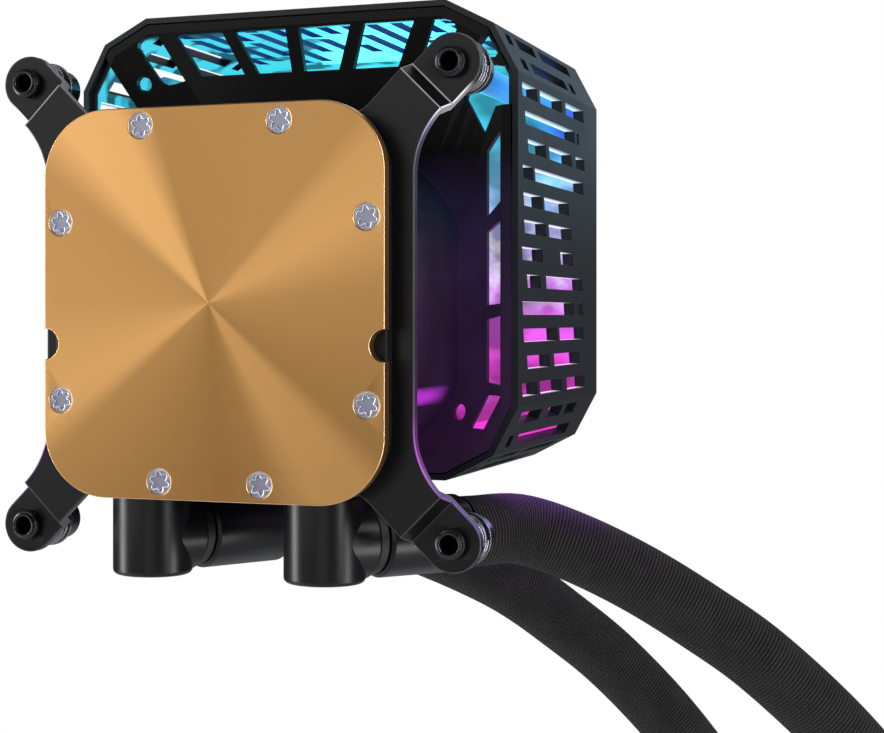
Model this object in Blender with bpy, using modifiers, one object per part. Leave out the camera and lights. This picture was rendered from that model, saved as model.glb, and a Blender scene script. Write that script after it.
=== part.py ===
"""All-in-one liquid cooler for a processor: the pump block in its slotted cage, with two hoses.

Metres, +Z up. The copper cold plate faces -Y, and the origin is at the middle of its face.
"""

import math

import bmesh
import bpy
from mathutils import Matrix, Vector

MM = 0.001
FIT = 0.3 * MM  # clearance between pieces that touch
MERGE = 0.002 * MM
ALONG_Y = Vector((0, 1, 0))
DOWN = Vector((0, 0, -1))

# Facets of round pieces
ROUND_STEPS = 20
SMALL_STEPS = 12
ARC_STEPS = 6

# Main sizes, which the other pieces follow
CASE_HALF = 29.8 * MM
CASE_LENGTH = 27.2 * MM
CAGE_DEPTH = 62.6 * MM
HOLE_SPACING = 75.0 * MM  # of common processor sockets
EAR_OFFSET = HOLE_SPACING / 2

# Cold plate
PLATE_WIDTH = 2 * CASE_HALF - 0.7 * MM
PLATE_HEIGHT = 2 * CASE_HALF + 3.4 * MM
PLATE_CORNER = 11.0 * MM
PLATE_THICK = 2.4 * MM
PLATE_EDGE = 0.35 * MM
NOTCH_RADIUS = 2.5 * MM
NOTCH_Z = -6.6 * MM
GASKET_HALF = 18.9 * MM
FIN_AREA = 2 * GASKET_HALF - 8.8 * MM
FIN_HEIGHT = 2.0 * MM
FIN_PITCH = 1.6 * MM
FIN_THICK = 0.8 * MM

# Plate screws, as places on the plate's face
SIDE_SCREW_X = PLATE_WIDTH / 2 - 2.95 * MM
END_SCREW_Z = PLATE_HEIGHT / 2 - 2.9 * MM
PLATE_SCREWS = [
    (-12.0 * MM, END_SCREW_Z),
    (12.0 * MM, END_SCREW_Z),
    (-SIDE_SCREW_X, 13.2 * MM),
    (SIDE_SCREW_X, 13.2 * MM),
    (-SIDE_SCREW_X, -15.75 * MM),
    (SIDE_SCREW_X, -15.75 * MM),
    (-8.7 * MM, -END_SCREW_Z),
    (8.7 * MM, -END_SCREW_Z),
]
SCREW_HEAD_RADIUS = 2.15 * MM
SCREW_HEAD_THICK = 1.0 * MM
SCREW_SINK = 0.2 * MM
SCREW_SHANK_RADIUS = 0.95 * MM
SCREW_TIP_INSIDE = 0.6 * MM
RECESS_RADIUS = 1.0 * MM
RECESS_DEPTH = 0.6 * MM

# Base housing, between the cold plate and the pump
RIM_INSET = 0.55 * MM
RIM_INSET_Z = 0.9 * MM
RIM_THICK = 3.0 * MM
CORE_HALF = CASE_HALF - 3.3 * MM
CORE_CORNER = 8.0 * MM
FIN_ROOM = 1.7 * MM
INLET_RADIUS = 5.0 * MM
GASKET_WIDTH = 1.8 * MM
GASKET_THICK = 1.0 * MM
GASKET_CORNER = 3.0 * MM

# Mounting bracket
BRACKET_THICK = 1.8 * MM
BRACKET_HALF_WIDTH = CASE_HALF + 2.5 * MM
BRACKET_HALF_HEIGHT = CASE_HALF - 0.1 * MM
SIDE_FILLET_SHARE = 0.48  # of the arm's straight edge
END_FILLET_SHARE = 0.16
EAR_RADIUS = 4.7 * MM
EAR_STEP = 3.0 * MM
STEP_START = EAR_OFFSET * math.sqrt(2) - 5.83 * MM
STEP_RUN = 1.4 * MM
EAR_HOLE_RADIUS = 2.2 * MM

# Spring screws in the ears
SHANK_RADIUS = 1.85 * MM
TUBE_RADIUS = 2.4 * MM
TUBE_LENGTH = 1.8 * MM
TUBE_BORE_RADIUS = 1.45 * MM
TUBE_BORE_DEPTH = 12.0 * MM
HEAD_RADIUS = 3.6 * MM
HEAD_THICK = 4.3 * MM
HEAD_FLUTES = 12
FLUTE_DEPTH = 0.3 * MM
WASHER_RADIUS = 4.4 * MM
WASHER_THICK = 0.7 * MM
SPRING_RADIUS = 3.9 * MM
SPRING_WIRE_RADIUS = 0.38 * MM
SPRING_ROOM = 4.6 * MM
SPRING_TURNS = 3
SPRING_STEPS = 10

# Pump casing
CASE_CORNER = 10.0 * MM
CASE_BOSS_LENGTH = 9.4 * MM
BODY_HALF = 0.94 * CASE_HALF  # of the round body's flat sides
BODY_RADIUS = 1.057 * CASE_HALF
BOSS_LOW = 0.805 * CASE_HALF
PORT_BLOCK_HALF = BODY_HALF - 1.0 * MM
PORT_BLOCK_LENGTH = 11.5 * MM
PORT_BLOCK_STEP = 0.5 * MM
CHAMBER_RADIUS = 0.587 * CASE_HALF
CHAMBER_DEPTH = 7.1 * MM
CAN_SEAT_DEPTH = 1.1 * MM
WALL_BEHIND_CHAMBER = 2.3 * MM
STATOR_BAY_RADIUS = 0.839 * CASE_HALF
STATOR_BAY_DEPTH = 12.0 * MM
BOARD_BAY_RADIUS = 0.893 * CASE_HALF

# Rotor, can and stator
IMPELLER_RADIUS = CHAMBER_RADIUS - 1.2 * MM
IMPELLER_DISC = 1.4 * MM
BLADE_HEIGHT = 3.5 * MM
BLADE_THICK = 1.2 * MM
BLADE_SWEEP = 50.0
BLADES = 6
HUB_RADIUS = 4.0 * MM
HUB_LENGTH = 2.4 * MM
SHAFT_RADIUS = 1.2 * MM
MAGNET_RADIUS = 8.2 * MM
MAGNET_LENGTH = 9.6 * MM
CAN_RADIUS = 9.1 * MM
CAN_WALL = 0.5 * MM
CAN_FLANGE = 3.2 * MM
CAN_LENGTH = 12.5 * MM
STATOR_THICK = 6.0 * MM
STATOR_RING = 0.148 * CASE_HALF
POLE_WIDTH = 5.0 * MM
POLES = 4
COIL_BUILD = 1.7 * MM
COIL_SHARE = 0.65  # of the pole, from the ring inwards
BOARD_THICK = 1.6 * MM

# Slotted cage
CAGE_HALF = 1.3826 * CASE_HALF
CAGE_FLAT = 0.6893 * CAGE_HALF
CAGE_CORNER = 0.8932 * CAGE_HALF
CAGE_RISE = CAGE_HALF - CASE_HALF - 0.4 * MM  # of its middle above the cold plate's
CAGE_WALL = 2.0 * MM
CAGE_LIP = 1.0 * MM  # of the wall, around the flange and the cover
SLOT_PITCH = CAGE_FLAT / 6.08
SLOT_HEIGHT = 0.49 * SLOT_PITCH
SLOT_UNIT = CAGE_DEPTH / 62.6  # the lists below are in this unit
SLOT_LEAN = 0.6 * MM
CORNER_SLOT_START = 0.535 * SLOT_PITCH
# Each row's slots as start and end, measured from the cage's rear rim, top row first
WALL_SLOTS = [
    [(2.9, 13.4), (15.4, 32.4), (35.4, 50.4)],
    [(5.0, 42.9), (44.6, 46.4)],
    [(6.9, 19.9), (22.4, 40.4), (43.9, 51.4)],
    [(3.4, 10.4), (11.9, 50.4)],
    [(3.9, 17.1), (18.7, 38.1)],
    [(4.4, 19.9), (22.2, 40.0)],
    [(2.9, 17.4), (31.2, 41.4)],
    [(6.4, 16.1), (20.1, 49.4)],
    [(3.2, 42.4), (45.9, 50.1)],
    [(3.8, 28.4), (30.4, 50.8)],
    [(6.4, 22.8), (26.2, 46.8)],
    [(2.9, 13.4), (15.4, 31.9), (36.2, 51.6)],
]
UPPER_CORNER_SLOTS = [
    [(7.1, 10.6), (14.2, 40.5), (43.9, 47.3)],
    [(5.0, 8.3), (11.8, 24.8), (28.6, 52.2)],
]
LOWER_CORNER_SLOTS = [
    [(5.4, 20.0), (25.3, 36.4), (39.7, 48.2)],
    [(5.4, 8.4), (11.9, 51.3)],
]

# Back flange of the cage
FLANGE_THICK = 1.2 * MM
FLANGE_RIM = 1.5 * MM
DISH_GAP = 0.4 * MM
DISH_DEPTH = CASE_BOSS_LENGTH
WINDOW_UNIT = CAGE_HALF / 41.2  # the window's places below are in this unit
WINDOW_OUTER = 37.9 * WINDOW_UNIT
WINDOW_INNER = 30.6 * WINDOW_UNIT
# Windows above the pump: where each begins and ends along its outer and its inner edge
TOP_WINDOWS = [
    (1.2, 11.0, 1.2, 7.8),
    (13.4, 22.7, 10.4, 18.8),
]
ROUND_ENDED_WINDOW = [
    (26.1, 37.9), (28.3, 37.8), (29.3, 37.5), (30.0, 36.9), (30.3, 36.0), (28.8, 33.2),
    (27.2, 30.4), (26.5, 29.7), (25.4, 29.3), (23.8, 29.6), (22.3, 30.0),
]
SIDE_WINDOW_OUTER = 38.0 * WINDOW_UNIT
SIDE_WINDOW_INNER = 34.8 * WINDOW_UNIT
# Windows beside the pump: where each begins and ends along its inner and its outer edge
SIDE_WINDOWS = [
    (3.9, 15.2, 6.4, 18.5),
    (-11.2, 1.4, -10.9, 3.2),
    (-24.4, -13.6, -24.8, -13.0),
]
LOWER_WINDOW = [(38.0, -26.6), (34.8, -26.6), (31.9, -32.4), (34.9, -32.4)]
# Openings at the upper corners, as far as the cage's wall
LEFT_CORNER = [[(42.0, 22.9), (36.9, 22.7), (34.3, 18.4), (31.2, 24.4), (36.3, 33.9), (38.5, 37.5)]]
RIGHT_CORNER = [
    [(42.0, 22.9), (36.9, 22.7), (34.3, 18.4), (31.2, 24.4), (33.2, 29.6), (37.0, 29.6), (42.0, 28.6)],
    [(34.2, 31.0), (34.4, 33.2), (36.0, 34.9), (37.9, 31.9), (37.2, 30.9)],
]
POSTS = [(30.0, 29.6), (28.9, -29.8)]
POST_RADIUS = 2.4 * MM
POST_BORE_RADIUS = 1.4 * MM
COVER_THICK = 1.5 * MM
COVER_STEP = 3.0 * MM
COVER_STEP_DEPTH = 0.5 * MM

# Lights inside the cage
LED_BOARD_HALF = BODY_HALF - 2.0 * MM
LED_BOARD_WIDTH = 6.0 * MM
LED_BOARD_THICK = 1.5 * MM
GUIDE_INSET = 1.5 * MM
GUIDE_WALL = 2.0 * MM
GUIDE_LENGTH = 14.0 * MM
GUIDE_CORNER = 8.0 * MM

# Hose fittings under the pump
PORT_X = 0.515 * CASE_HALF
PORT_Y = 11.6 * MM
ELBOW_RADIUS = 6.65 * MM
ELBOW_TOP = -CASE_HALF - 1.1 * MM
ELBOW_LENGTH = 14.1 * MM
ELBOW_BOTTOM = ELBOW_TOP - ELBOW_LENGTH
ELBOW_EDGE = 0.8 * MM
SPIGOT_RADIUS = 2.8 * MM
SPIGOT_LENGTH = 6.3 * MM
DUCT_RADIUS = 2.0 * MM
SEAL_WIDTH = 1.4 * MM
BARREL_DROP = 7.5 * MM
BARREL_Z = ELBOW_TOP - BARREL_DROP
BARREL_RADIUS = 6.5 * MM
STUB_LENGTH = 6.9 * MM
COLLAR_RADIUS = 5.9 * MM
COLLAR_LENGTH = 1.6 * MM
FERRULE_LENGTH = 16.7 * MM
FERRULE_EDGE = 1.0 * MM
NIPPLE_RADIUS = 3.0 * MM
HEADINGS = {"left": 31.0, "right": 40.0}  # degrees from +Y towards +X

# Hoses: the points that their middles pass, in mm from the elbow's middle
HOSE_RADIUS = 6.0 * MM
HOSE_SPACING = 2 * 2 * HOSE_RADIUS
HOSE_LEAD = 3.0 * MM
HOSE_ROUTES = {
    "right": [
        (24.7, 29.4, -0.2),
        (33.2, 33.4, -3.3),
        (43.5, 37.4, -8.7),
        (53.8, 40.9, -15.4),
        (63.8, 44.2, -22.9),
        (75.8, 49.0, -34.9),
        (84.4, 52.4, -46.2),
        (91.6, 55.2, -59.0),
        (96.9, 57.3, -73.0),
        (100.8, 58.9, -94.0),
        (102.0, 59.4, -121.6),
        (100.9, 59.0, -156.6),
        (98.7, 58.4, -191.6),
        (97.7, 58.0, -223.6),
        (97.7, 58.0, -247.6),
    ],
    "left": [
        (20.9, 33.4, -0.8),
        (29.4, 44.9, -4.0),
        (43.8, 61.4, -13.6),
        (54.7, 73.4, -24.2),
        (62.4, 79.6, -32.3),
        (71.3, 85.0, -43.2),
        (79.1, 89.1, -54.9),
        (85.3, 92.3, -68.0),
        (89.6, 94.6, -82.6),
        (92.4, 96.0, -104.0),
        (92.9, 96.3, -131.6),
        (91.6, 95.8, -166.6),
        (89.6, 95.1, -199.6),
        (89.1, 94.8, -217.6),
        (89.1, 94.8, -235.6),
    ],
}
END_FERRULE_LENGTH = 14.0 * MM
NUT_RADIUS = 7.2 * MM
NUT_LENGTH = 6.0 * MM
NOSE_RADIUS = 4.8 * MM
NOSE_LENGTH = 5.0 * MM
NOSE_BORE = 2.4 * MM

# Places along Y that follow from the sizes above
RIM_FRONT = PLATE_THICK + FIT
RIM_BACK = RIM_FRONT + RIM_THICK
BRACKET_FRONT = RIM_BACK + FIT
BRACKET_BACK = BRACKET_FRONT + BRACKET_THICK
CORE_BACK = BRACKET_BACK
EAR_FRONT = BRACKET_FRONT + EAR_STEP
EAR_BACK = BRACKET_BACK + EAR_STEP
CASE_FRONT = BRACKET_BACK + FIT
CASE_BACK = CASE_FRONT + CASE_LENGTH
CAN_SEAT = CASE_FRONT + CHAMBER_DEPTH
STATOR_BAY_FRONT = CAN_SEAT + CAN_SEAT_DEPTH + WALL_BEHIND_CHAMBER
BOARD_LEDGE = STATOR_BAY_FRONT + STATOR_BAY_DEPTH
CAGE_BACK_RIM = CASE_BACK + FIT
CAGE_FRONT = CAGE_BACK_RIM + CAGE_DEPTH
DISH_BACK = CAGE_BACK_RIM + DISH_DEPTH + FLANGE_THICK
FERRULE_START = STUB_LENGTH + FIT + COLLAR_LENGTH + FIT
FERRULE_END = FERRULE_START + FERRULE_LENGTH

MATERIALS = {
    "copper": ((0.83, 0.53, 0.24), 0.32, 1.0),
    "steel": ((0.62, 0.62, 0.64), 0.3, 1.0),
    "black_steel": ((0.03, 0.03, 0.033), 0.4, 0.4),
    "black_plastic": ((0.02, 0.02, 0.022), 0.5, 0.0),
    "gunmetal": ((0.07, 0.08, 0.09), 0.45, 0.6),
    "rubber": ((0.01, 0.01, 0.01), 0.8, 0.0),
    "satin_black": ((0.03, 0.03, 0.032), 0.35, 0.2),
    "braid": ((0.025, 0.023, 0.023), 0.85, 0.0),
    "circuit": ((0.03, 0.12, 0.06), 0.5, 0.0),
    "frosted": ((0.8, 0.85, 0.9), 0.4, 0.0),
    "magnet": ((0.12, 0.12, 0.13), 0.5, 0.3),
    "ceramic": ((0.85, 0.84, 0.8), 0.3, 0.0),
}


def clear_scene():
    for thing in list(bpy.data.objects):
        bpy.data.objects.remove(thing, do_unlink=True)


def new_collection(name):
    collection = bpy.data.collections.new(name)
    bpy.context.scene.collection.children.link(collection)
    return collection


def finish_of(kind, name):
    colour, roughness, metallic = MATERIALS[kind]
    material = bpy.data.materials.new(name + "_finish")
    material.use_nodes = True
    shader = material.node_tree.nodes["Principled BSDF"]
    shader.inputs["Base Color"].default_value = (*colour, 1.0)
    shader.inputs["Roughness"].default_value = roughness
    shader.inputs["Metallic"].default_value = metallic
    return material


def as_part(thing, kind):
    """Puts an object among the parts, with a finish of its own."""
    PARTS.objects.link(thing)
    thing.data.materials.clear()
    thing.data.materials.append(finish_of(kind, thing.name))
    return thing


def as_cutter(thing):
    CUTTERS.objects.link(thing)
    thing.hide_render = True
    thing.display_type = "WIRE"
    return thing


def boolean(thing, operand, operation):
    modifier = thing.modifiers.new(operation.lower() + "_" + operand.name, "BOOLEAN")
    modifier.operation = operation
    modifier.object = operand
    return thing


def cut(thing, operand):
    return boolean(thing, as_cutter(operand), "DIFFERENCE")


def fuse(thing, operand):
    return boolean(thing, as_cutter(operand), "UNION")


def object_from(bm, name):
    bmesh.ops.recalc_face_normals(bm, faces=bm.faces[:])
    mesh = bpy.data.meshes.new(name)
    bm.to_mesh(mesh)
    bm.free()
    return bpy.data.objects.new(name, mesh)


def ring_points(radius, steps, centre=(0.0, 0.0)):
    turns = [2 * math.pi * i / steps for i in range(steps)]
    return [(centre[0] + radius * math.cos(a), centre[1] + radius * math.sin(a)) for a in turns]


def arc_points(centre, radius, start, end, steps):
    """Points on an arc, with its angles in degrees."""
    angles = [math.radians(start + (end - start) * i / steps) for i in range(steps + 1)]
    return [(centre[0] + radius * math.cos(a), centre[1] + radius * math.sin(a)) for a in angles]


def rounded_box(left, right, bottom, top, radius):
    corners = [
        (right - radius, top - radius, 0),
        (left + radius, top - radius, 90),
        (left + radius, bottom + radius, 180),
        (right - radius, bottom + radius, 270),
    ]
    return [p for u, w, turn in corners for p in arc_points((u, w), radius, turn, turn + 90, ARC_STEPS)]


def rounded_square(half, radius, rise=0.0):
    return rounded_box(-half, half, rise - half, rise + half, radius)


def inset(loop, distance):
    """An anticlockwise outline moved inwards by the same distance on every side."""
    moved = []
    for before, here, after in zip(loop[-1:] + loop[:-1], loop, loop[1:] + loop[:1]):
        sides = [Vector(here) - Vector(before), Vector(after) - Vector(here)]
        inward = [Vector((-side.y, side.x)).normalized() for side in sides]
        mitre = (inward[0] + inward[1]).normalized()
        moved.append(tuple(Vector(here) + mitre * (distance / mitre.dot(inward[0]))))
    return moved


def prism(name, loops, front, back):
    """A flat outline with its holes, in the XZ plane, made thick from front to back along Y."""
    curve = bpy.data.curves.new(name, "CURVE")
    curve.dimensions = "2D"
    curve.fill_mode = "BOTH"
    curve.extrude = (back - front) / 2
    for loop in loops:
        spline = curve.splines.new("POLY")
        spline.points.add(len(loop) - 1)
        for point, (u, w) in zip(spline.points, loop):
            point.co = (u, w, 0, 1)
        spline.use_cyclic_u = True
    return solid_from_curve(name, curve, Matrix.Translation((0, (front + back) / 2, 0)) @ Matrix.Rotation(math.pi / 2, 4, "X"))


def solid_from_curve(name, curve, place):
    """A curve's solid as a mesh, with its caps welded on."""
    guide = bpy.data.objects.new(name + "_guide", curve)
    bpy.context.scene.collection.objects.link(guide)
    evaluated = guide.evaluated_get(bpy.context.evaluated_depsgraph_get())
    mesh = bpy.data.meshes.new_from_object(evaluated)
    bpy.data.objects.remove(guide, do_unlink=True)
    bm = bmesh.new()
    bm.from_mesh(mesh)
    bpy.data.meshes.remove(mesh)
    bmesh.ops.remove_doubles(bm, verts=bm.verts[:], dist=MERGE)
    bmesh.ops.transform(bm, matrix=place, verts=bm.verts[:])
    return object_from(bm, name)


def turned(name, profile, at, toward, steps, closed=False):
    """A profile of (radius, distance along the axis) pairs, turned about its axis."""
    bm = bmesh.new()
    corners = [bm.verts.new((radius, 0, along)) for radius, along in profile]
    for a, b in zip(corners, corners[1:]):
        bm.edges.new((a, b))
    if closed:
        bm.edges.new((corners[-1], corners[0]))
    mesh = bpy.data.meshes.new(name)
    bm.to_mesh(mesh)
    bm.free()
    thing = bpy.data.objects.new(name, mesh)
    thing.location = at
    thing.rotation_mode = "QUATERNION"
    thing.rotation_quaternion = Vector((0, 0, 1)).rotation_difference(toward)
    screw = thing.modifiers.new("turn", "SCREW")
    screw.steps = steps
    screw.render_steps = steps
    screw.use_merge_vertices = True
    screw.merge_threshold = MERGE
    screw.use_smooth_shade = False
    return thing


def sleeve(name, outer, inner, start, end, at, toward, edge=0.0, steps=ROUND_STEPS):
    """A ring or tube, with its two outer edges chamfered where edge is given."""
    outside = [(outer, end), (outer, start)]
    if edge:
        outside = [(outer - edge, end), (outer, end - edge), (outer, start + edge), (outer - edge, start)]
    profile = outside + [(inner, start), (inner, end)]
    return turned(name, profile, at, toward, steps, closed=True)


def rod(name, radius, start, end, at, toward, steps=SMALL_STEPS):
    return turned(name, [(0, end), (radius, end), (radius, start), (0, start)], at, toward, steps)


def box_into(bm, place, size):
    bmesh.ops.create_cube(bm, size=1.0, matrix=place @ Matrix.Diagonal((*size, 1.0)))


def at_y(y, x=0.0, z=0.0):
    return Vector((x, y, z))


def heading_of(side):
    turn = math.radians(HEADINGS[side])
    return Vector((math.sin(turn), math.cos(turn), 0))


def port_of(side):
    return Vector((PORT_X if side == "right" else -PORT_X, PORT_Y, 0))


def plate_outline():
    """The cold plate's rounded outline, with a half-round notch in each side."""
    half_width, half_height = PLATE_WIDTH / 2, PLATE_HEIGHT / 2
    loop = rounded_box(-half_width, half_width, -half_height, half_height, PLATE_CORNER)
    per_corner = ARC_STEPS + 1
    left = arc_points((-half_width, NOTCH_Z), NOTCH_RADIUS, 90, -90, 2 * ARC_STEPS)
    right = arc_points((half_width, NOTCH_Z), NOTCH_RADIUS, 270, 90, 2 * ARC_STEPS)
    return loop[: 2 * per_corner] + left + loop[2 * per_corner :] + right


def make_cold_plate():
    plate = prism("cold_plate", [plate_outline()], 0.0, PLATE_THICK)
    bevel = plate.modifiers.new("edge", "BEVEL")
    bevel.width = PLATE_EDGE
    bevel.segments = 1
    bevel.limit_method = "ANGLE"
    bevel.angle_limit = math.radians(60)
    head_depth = SCREW_SINK + SCREW_HEAD_THICK + FIT
    wide = [ring_points(SCREW_HEAD_RADIUS + FIT, SMALL_STEPS, place) for place in PLATE_SCREWS]
    narrow = [ring_points(SCREW_SHANK_RADIUS + FIT, SMALL_STEPS, place) for place in PLATE_SCREWS]
    cut(plate, prism("counterbores", wide, -PLATE_THICK, head_depth))
    cut(plate, prism("plate_holes", narrow, head_depth / 2, 2 * PLATE_THICK))
    fins = bmesh.new()
    count = int((FIN_AREA - FIN_THICK) / FIN_PITCH) + 1
    low = PLATE_THICK / 2
    high = PLATE_THICK + FIN_HEIGHT
    for i in range(count):
        x = (i - (count - 1) / 2) * FIN_PITCH
        box_into(fins, Matrix.Translation((x, (low + high) / 2, 0)), (FIN_THICK, high - low, FIN_AREA))
    fuse(plate, object_from(fins, "fins"))
    as_part(plate, "copper")


def make_plate_screws():
    for i, (x, z) in enumerate(PLATE_SCREWS):
        head = SCREW_SINK + SCREW_HEAD_THICK
        tip = RIM_BACK - SCREW_TIP_INSIDE
        profile = [
            (0, tip),
            (SCREW_SHANK_RADIUS, tip),
            (SCREW_SHANK_RADIUS, head),
            (SCREW_HEAD_RADIUS, head),
            (SCREW_HEAD_RADIUS, SCREW_SINK),
            (RECESS_RADIUS, SCREW_SINK),
            (RECESS_RADIUS, SCREW_SINK + RECESS_DEPTH),
            (0, SCREW_SINK + RECESS_DEPTH),
        ]
        as_part(turned(f"plate_screw_{i + 1}", profile, at_y(0, x, z), ALONG_Y, SMALL_STEPS), "steel")


def make_base():
    half_width = PLATE_WIDTH / 2 - RIM_INSET
    half_height = PLATE_HEIGHT / 2 - RIM_INSET_Z
    rim = rounded_box(-half_width, half_width, -half_height, half_height, PLATE_CORNER - RIM_INSET)
    room = rounded_square(FIN_AREA / 2 + FIN_ROOM, FIN_ROOM)
    holes = [ring_points(SCREW_SHANK_RADIUS + FIT, SMALL_STEPS, place) for place in PLATE_SCREWS]
    base = prism("base_housing", [rim, room] + holes, RIM_FRONT, RIM_BACK)
    core = [rounded_square(CORE_HALF, CORE_CORNER), ring_points(INLET_RADIUS, ROUND_STEPS)]
    core_front = RIM_FRONT + FIN_HEIGHT + FIT
    relief = [ring_points(SCREW_SHANK_RADIUS + FIT, SMALL_STEPS, place) for place in PLATE_SCREWS]
    fuse(base, prism("base_core", core, core_front, CORE_BACK))
    cut(base, prism("screw_ends", relief, RIM_FRONT - FIT, RIM_BACK - SCREW_TIP_INSIDE + FIT))
    groove = [
        rounded_square(GASKET_HALF + FIT, GASKET_CORNER),
        rounded_square(GASKET_HALF - GASKET_WIDTH - FIT, GASKET_CORNER - GASKET_WIDTH / 2),
    ]
    cut(base, prism("gasket_groove", groove, RIM_FRONT - FIT, RIM_FRONT + GASKET_THICK + FIT))
    as_part(base, "black_plastic")
    ring = [
        rounded_square(GASKET_HALF, GASKET_CORNER),
        rounded_square(GASKET_HALF - GASKET_WIDTH, GASKET_CORNER - GASKET_WIDTH / 2),
    ]
    as_part(prism("plate_gasket", ring, RIM_FRONT, RIM_FRONT + GASKET_THICK), "rubber")


def bracket_quarter():
    """The bracket's outline from the middle of its right side up to the middle of its top."""
    slant = EAR_RADIUS * math.sqrt(2)
    side_corner = BRACKET_HALF_WIDTH - slant
    ear_edge = EAR_OFFSET + EAR_RADIUS / math.sqrt(2)
    bend = math.tan(math.radians(22.5))
    side_tangent = SIDE_FILLET_SHARE * (ear_edge - BRACKET_HALF_WIDTH) * math.sqrt(2)
    side_fillet = side_tangent / bend
    side_centre = (BRACKET_HALF_WIDTH + side_fillet, side_corner - side_tangent)
    end_corner = BRACKET_HALF_HEIGHT - slant
    end_tangent = END_FILLET_SHARE * (ear_edge - BRACKET_HALF_HEIGHT) * math.sqrt(2)
    end_fillet = end_tangent / bend
    end_centre = (end_corner - end_tangent, BRACKET_HALF_HEIGHT + end_fillet)
    points = arc_points(side_centre, side_fillet, 180, 135, ARC_STEPS)
    points += arc_points((EAR_OFFSET, EAR_OFFSET), EAR_RADIUS, -45, 135, 2 * ARC_STEPS)
    points += arc_points(end_centre, end_fillet, 315, 270, ARC_STEPS)
    return points


def step_back(along, start):
    """How far the ear's step has gone at a distance along the bracket's diagonal."""
    return EAR_STEP * min(1.0, max(0.0, (along - start) / STEP_RUN))


def make_bracket():
    quarter = bracket_quarter()
    left = [(-u, w) for u, w in reversed(quarter)]
    upper = quarter + left
    outline = upper + [(u, -w) for u, w in reversed(upper)]
    opening = rounded_square(CORE_HALF + FIT, CORE_CORNER + FIT)
    ears = [(sx * EAR_OFFSET, sz * EAR_OFFSET) for sx in (-1, 1) for sz in (-1, 1)]
    holes = [ring_points(EAR_HOLE_RADIUS, ROUND_STEPS, ear) for ear in ears]
    bracket = prism("mounting_bracket", [outline, opening] + holes, BRACKET_FRONT, BRACKET_BACK)
    slope = math.atan2(EAR_STEP, STEP_RUN)
    back_shift = BRACKET_THICK * math.tan(slope / 2)
    starts = {BRACKET_FRONT: STEP_START, BRACKET_BACK: STEP_START - back_shift}
    bm = bmesh.new()
    bm.from_mesh(bracket.data)
    for u, w in ears:
        diagonal = Vector((u, 0, w)).normalized()
        for fold in sorted(start + run for start in starts.values() for run in (0, STEP_RUN)):
            everything = bm.verts[:] + bm.edges[:] + bm.faces[:]
            bmesh.ops.bisect_plane(bm, geom=everything, dist=MERGE, plane_co=diagonal * fold, plane_no=diagonal)
    middle = (BRACKET_FRONT + BRACKET_BACK) / 2
    for vert in bm.verts:
        along = (abs(vert.co.x) + abs(vert.co.z)) / math.sqrt(2)
        start = starts[BRACKET_FRONT if vert.co.y < middle else BRACKET_BACK]
        vert.co.y += step_back(along, start)
    bm.to_mesh(bracket.data)
    bm.free()
    as_part(bracket, "black_steel")


def make_spring_screw(number, ear):
    """A hollow captive screw with its fluted head, its washer and its spring."""
    x, z = ear
    at = at_y(0, x, z)
    tube_end = EAR_FRONT - FIT
    spring_front = EAR_BACK + FIT
    washer_front = spring_front + SPRING_ROOM + FIT
    head_front = washer_front + WASHER_THICK + FIT
    head_back = head_front + HEAD_THICK
    bore_end = tube_end - TUBE_LENGTH + TUBE_BORE_DEPTH
    profile = [
        (0, head_back),
        (HEAD_RADIUS - 2 * FLUTE_DEPTH, head_back),
        (HEAD_RADIUS - 2 * FLUTE_DEPTH, head_front),
        (SHANK_RADIUS, head_front),
        (SHANK_RADIUS, tube_end),
        (TUBE_RADIUS, tube_end),
        (TUBE_RADIUS, tube_end - TUBE_LENGTH),
        (TUBE_BORE_RADIUS, tube_end - TUBE_LENGTH),
        (TUBE_BORE_RADIUS, bore_end),
        (0, bore_end),
    ]
    screw = turned(f"thumb_screw_{number}", profile, at, ALONG_Y, SMALL_STEPS)
    flutes = []
    for i in range(2 * HEAD_FLUTES):
        reach = HEAD_RADIUS - FLUTE_DEPTH * (i % 2)
        turn = math.pi * i / HEAD_FLUTES
        flutes.append((x + reach * math.cos(turn), z + reach * math.sin(turn)))
    grip = HEAD_THICK / 10
    fuse(screw, prism(f"flutes_{number}", [flutes], head_front + grip, head_back - grip))
    as_part(screw, "black_steel")
    washer = sleeve(
        f"screw_washer_{number}", WASHER_RADIUS, SHANK_RADIUS + FIT,
        washer_front, washer_front + WASHER_THICK, at, ALONG_Y, steps=SMALL_STEPS,
    )
    as_part(washer, "steel")
    curve = bpy.data.curves.new(f"screw_spring_{number}", "CURVE")
    curve.dimensions = "3D"
    curve.bevel_depth = SPRING_WIRE_RADIUS
    curve.bevel_resolution = 1
    curve.use_fill_caps = True
    spline = curve.splines.new("POLY")
    count = SPRING_TURNS * SPRING_STEPS
    spline.points.add(count)
    rise = SPRING_ROOM - 2 * SPRING_WIRE_RADIUS
    for i, point in enumerate(spline.points):
        turn = 2 * math.pi * i / SPRING_STEPS
        along = spring_front + SPRING_WIRE_RADIUS + rise * i / count
        point.co = (x + SPRING_RADIUS * math.cos(turn), along, z + SPRING_RADIUS * math.sin(turn), 1)
    as_part(solid_from_curve(f"screw_spring_{number}", curve, Matrix.Identity(4)), "steel")


def body_outline(gap, foot):
    """The pump's round body, flat at its sides, top and foot, with a gap around it."""
    radius = BODY_RADIUS + gap
    side = math.degrees(math.acos((BODY_HALF + gap) / radius))
    low = math.degrees(math.asin((foot + gap) / radius))
    spans = [(side, 90 - side), (90 + side, 180 - side), (180 + side, 180 + low), (360 - low, 360 - side)]
    return [point for start, end in spans for point in arc_points((0, 0), radius, start, end, ARC_STEPS)]


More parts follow.
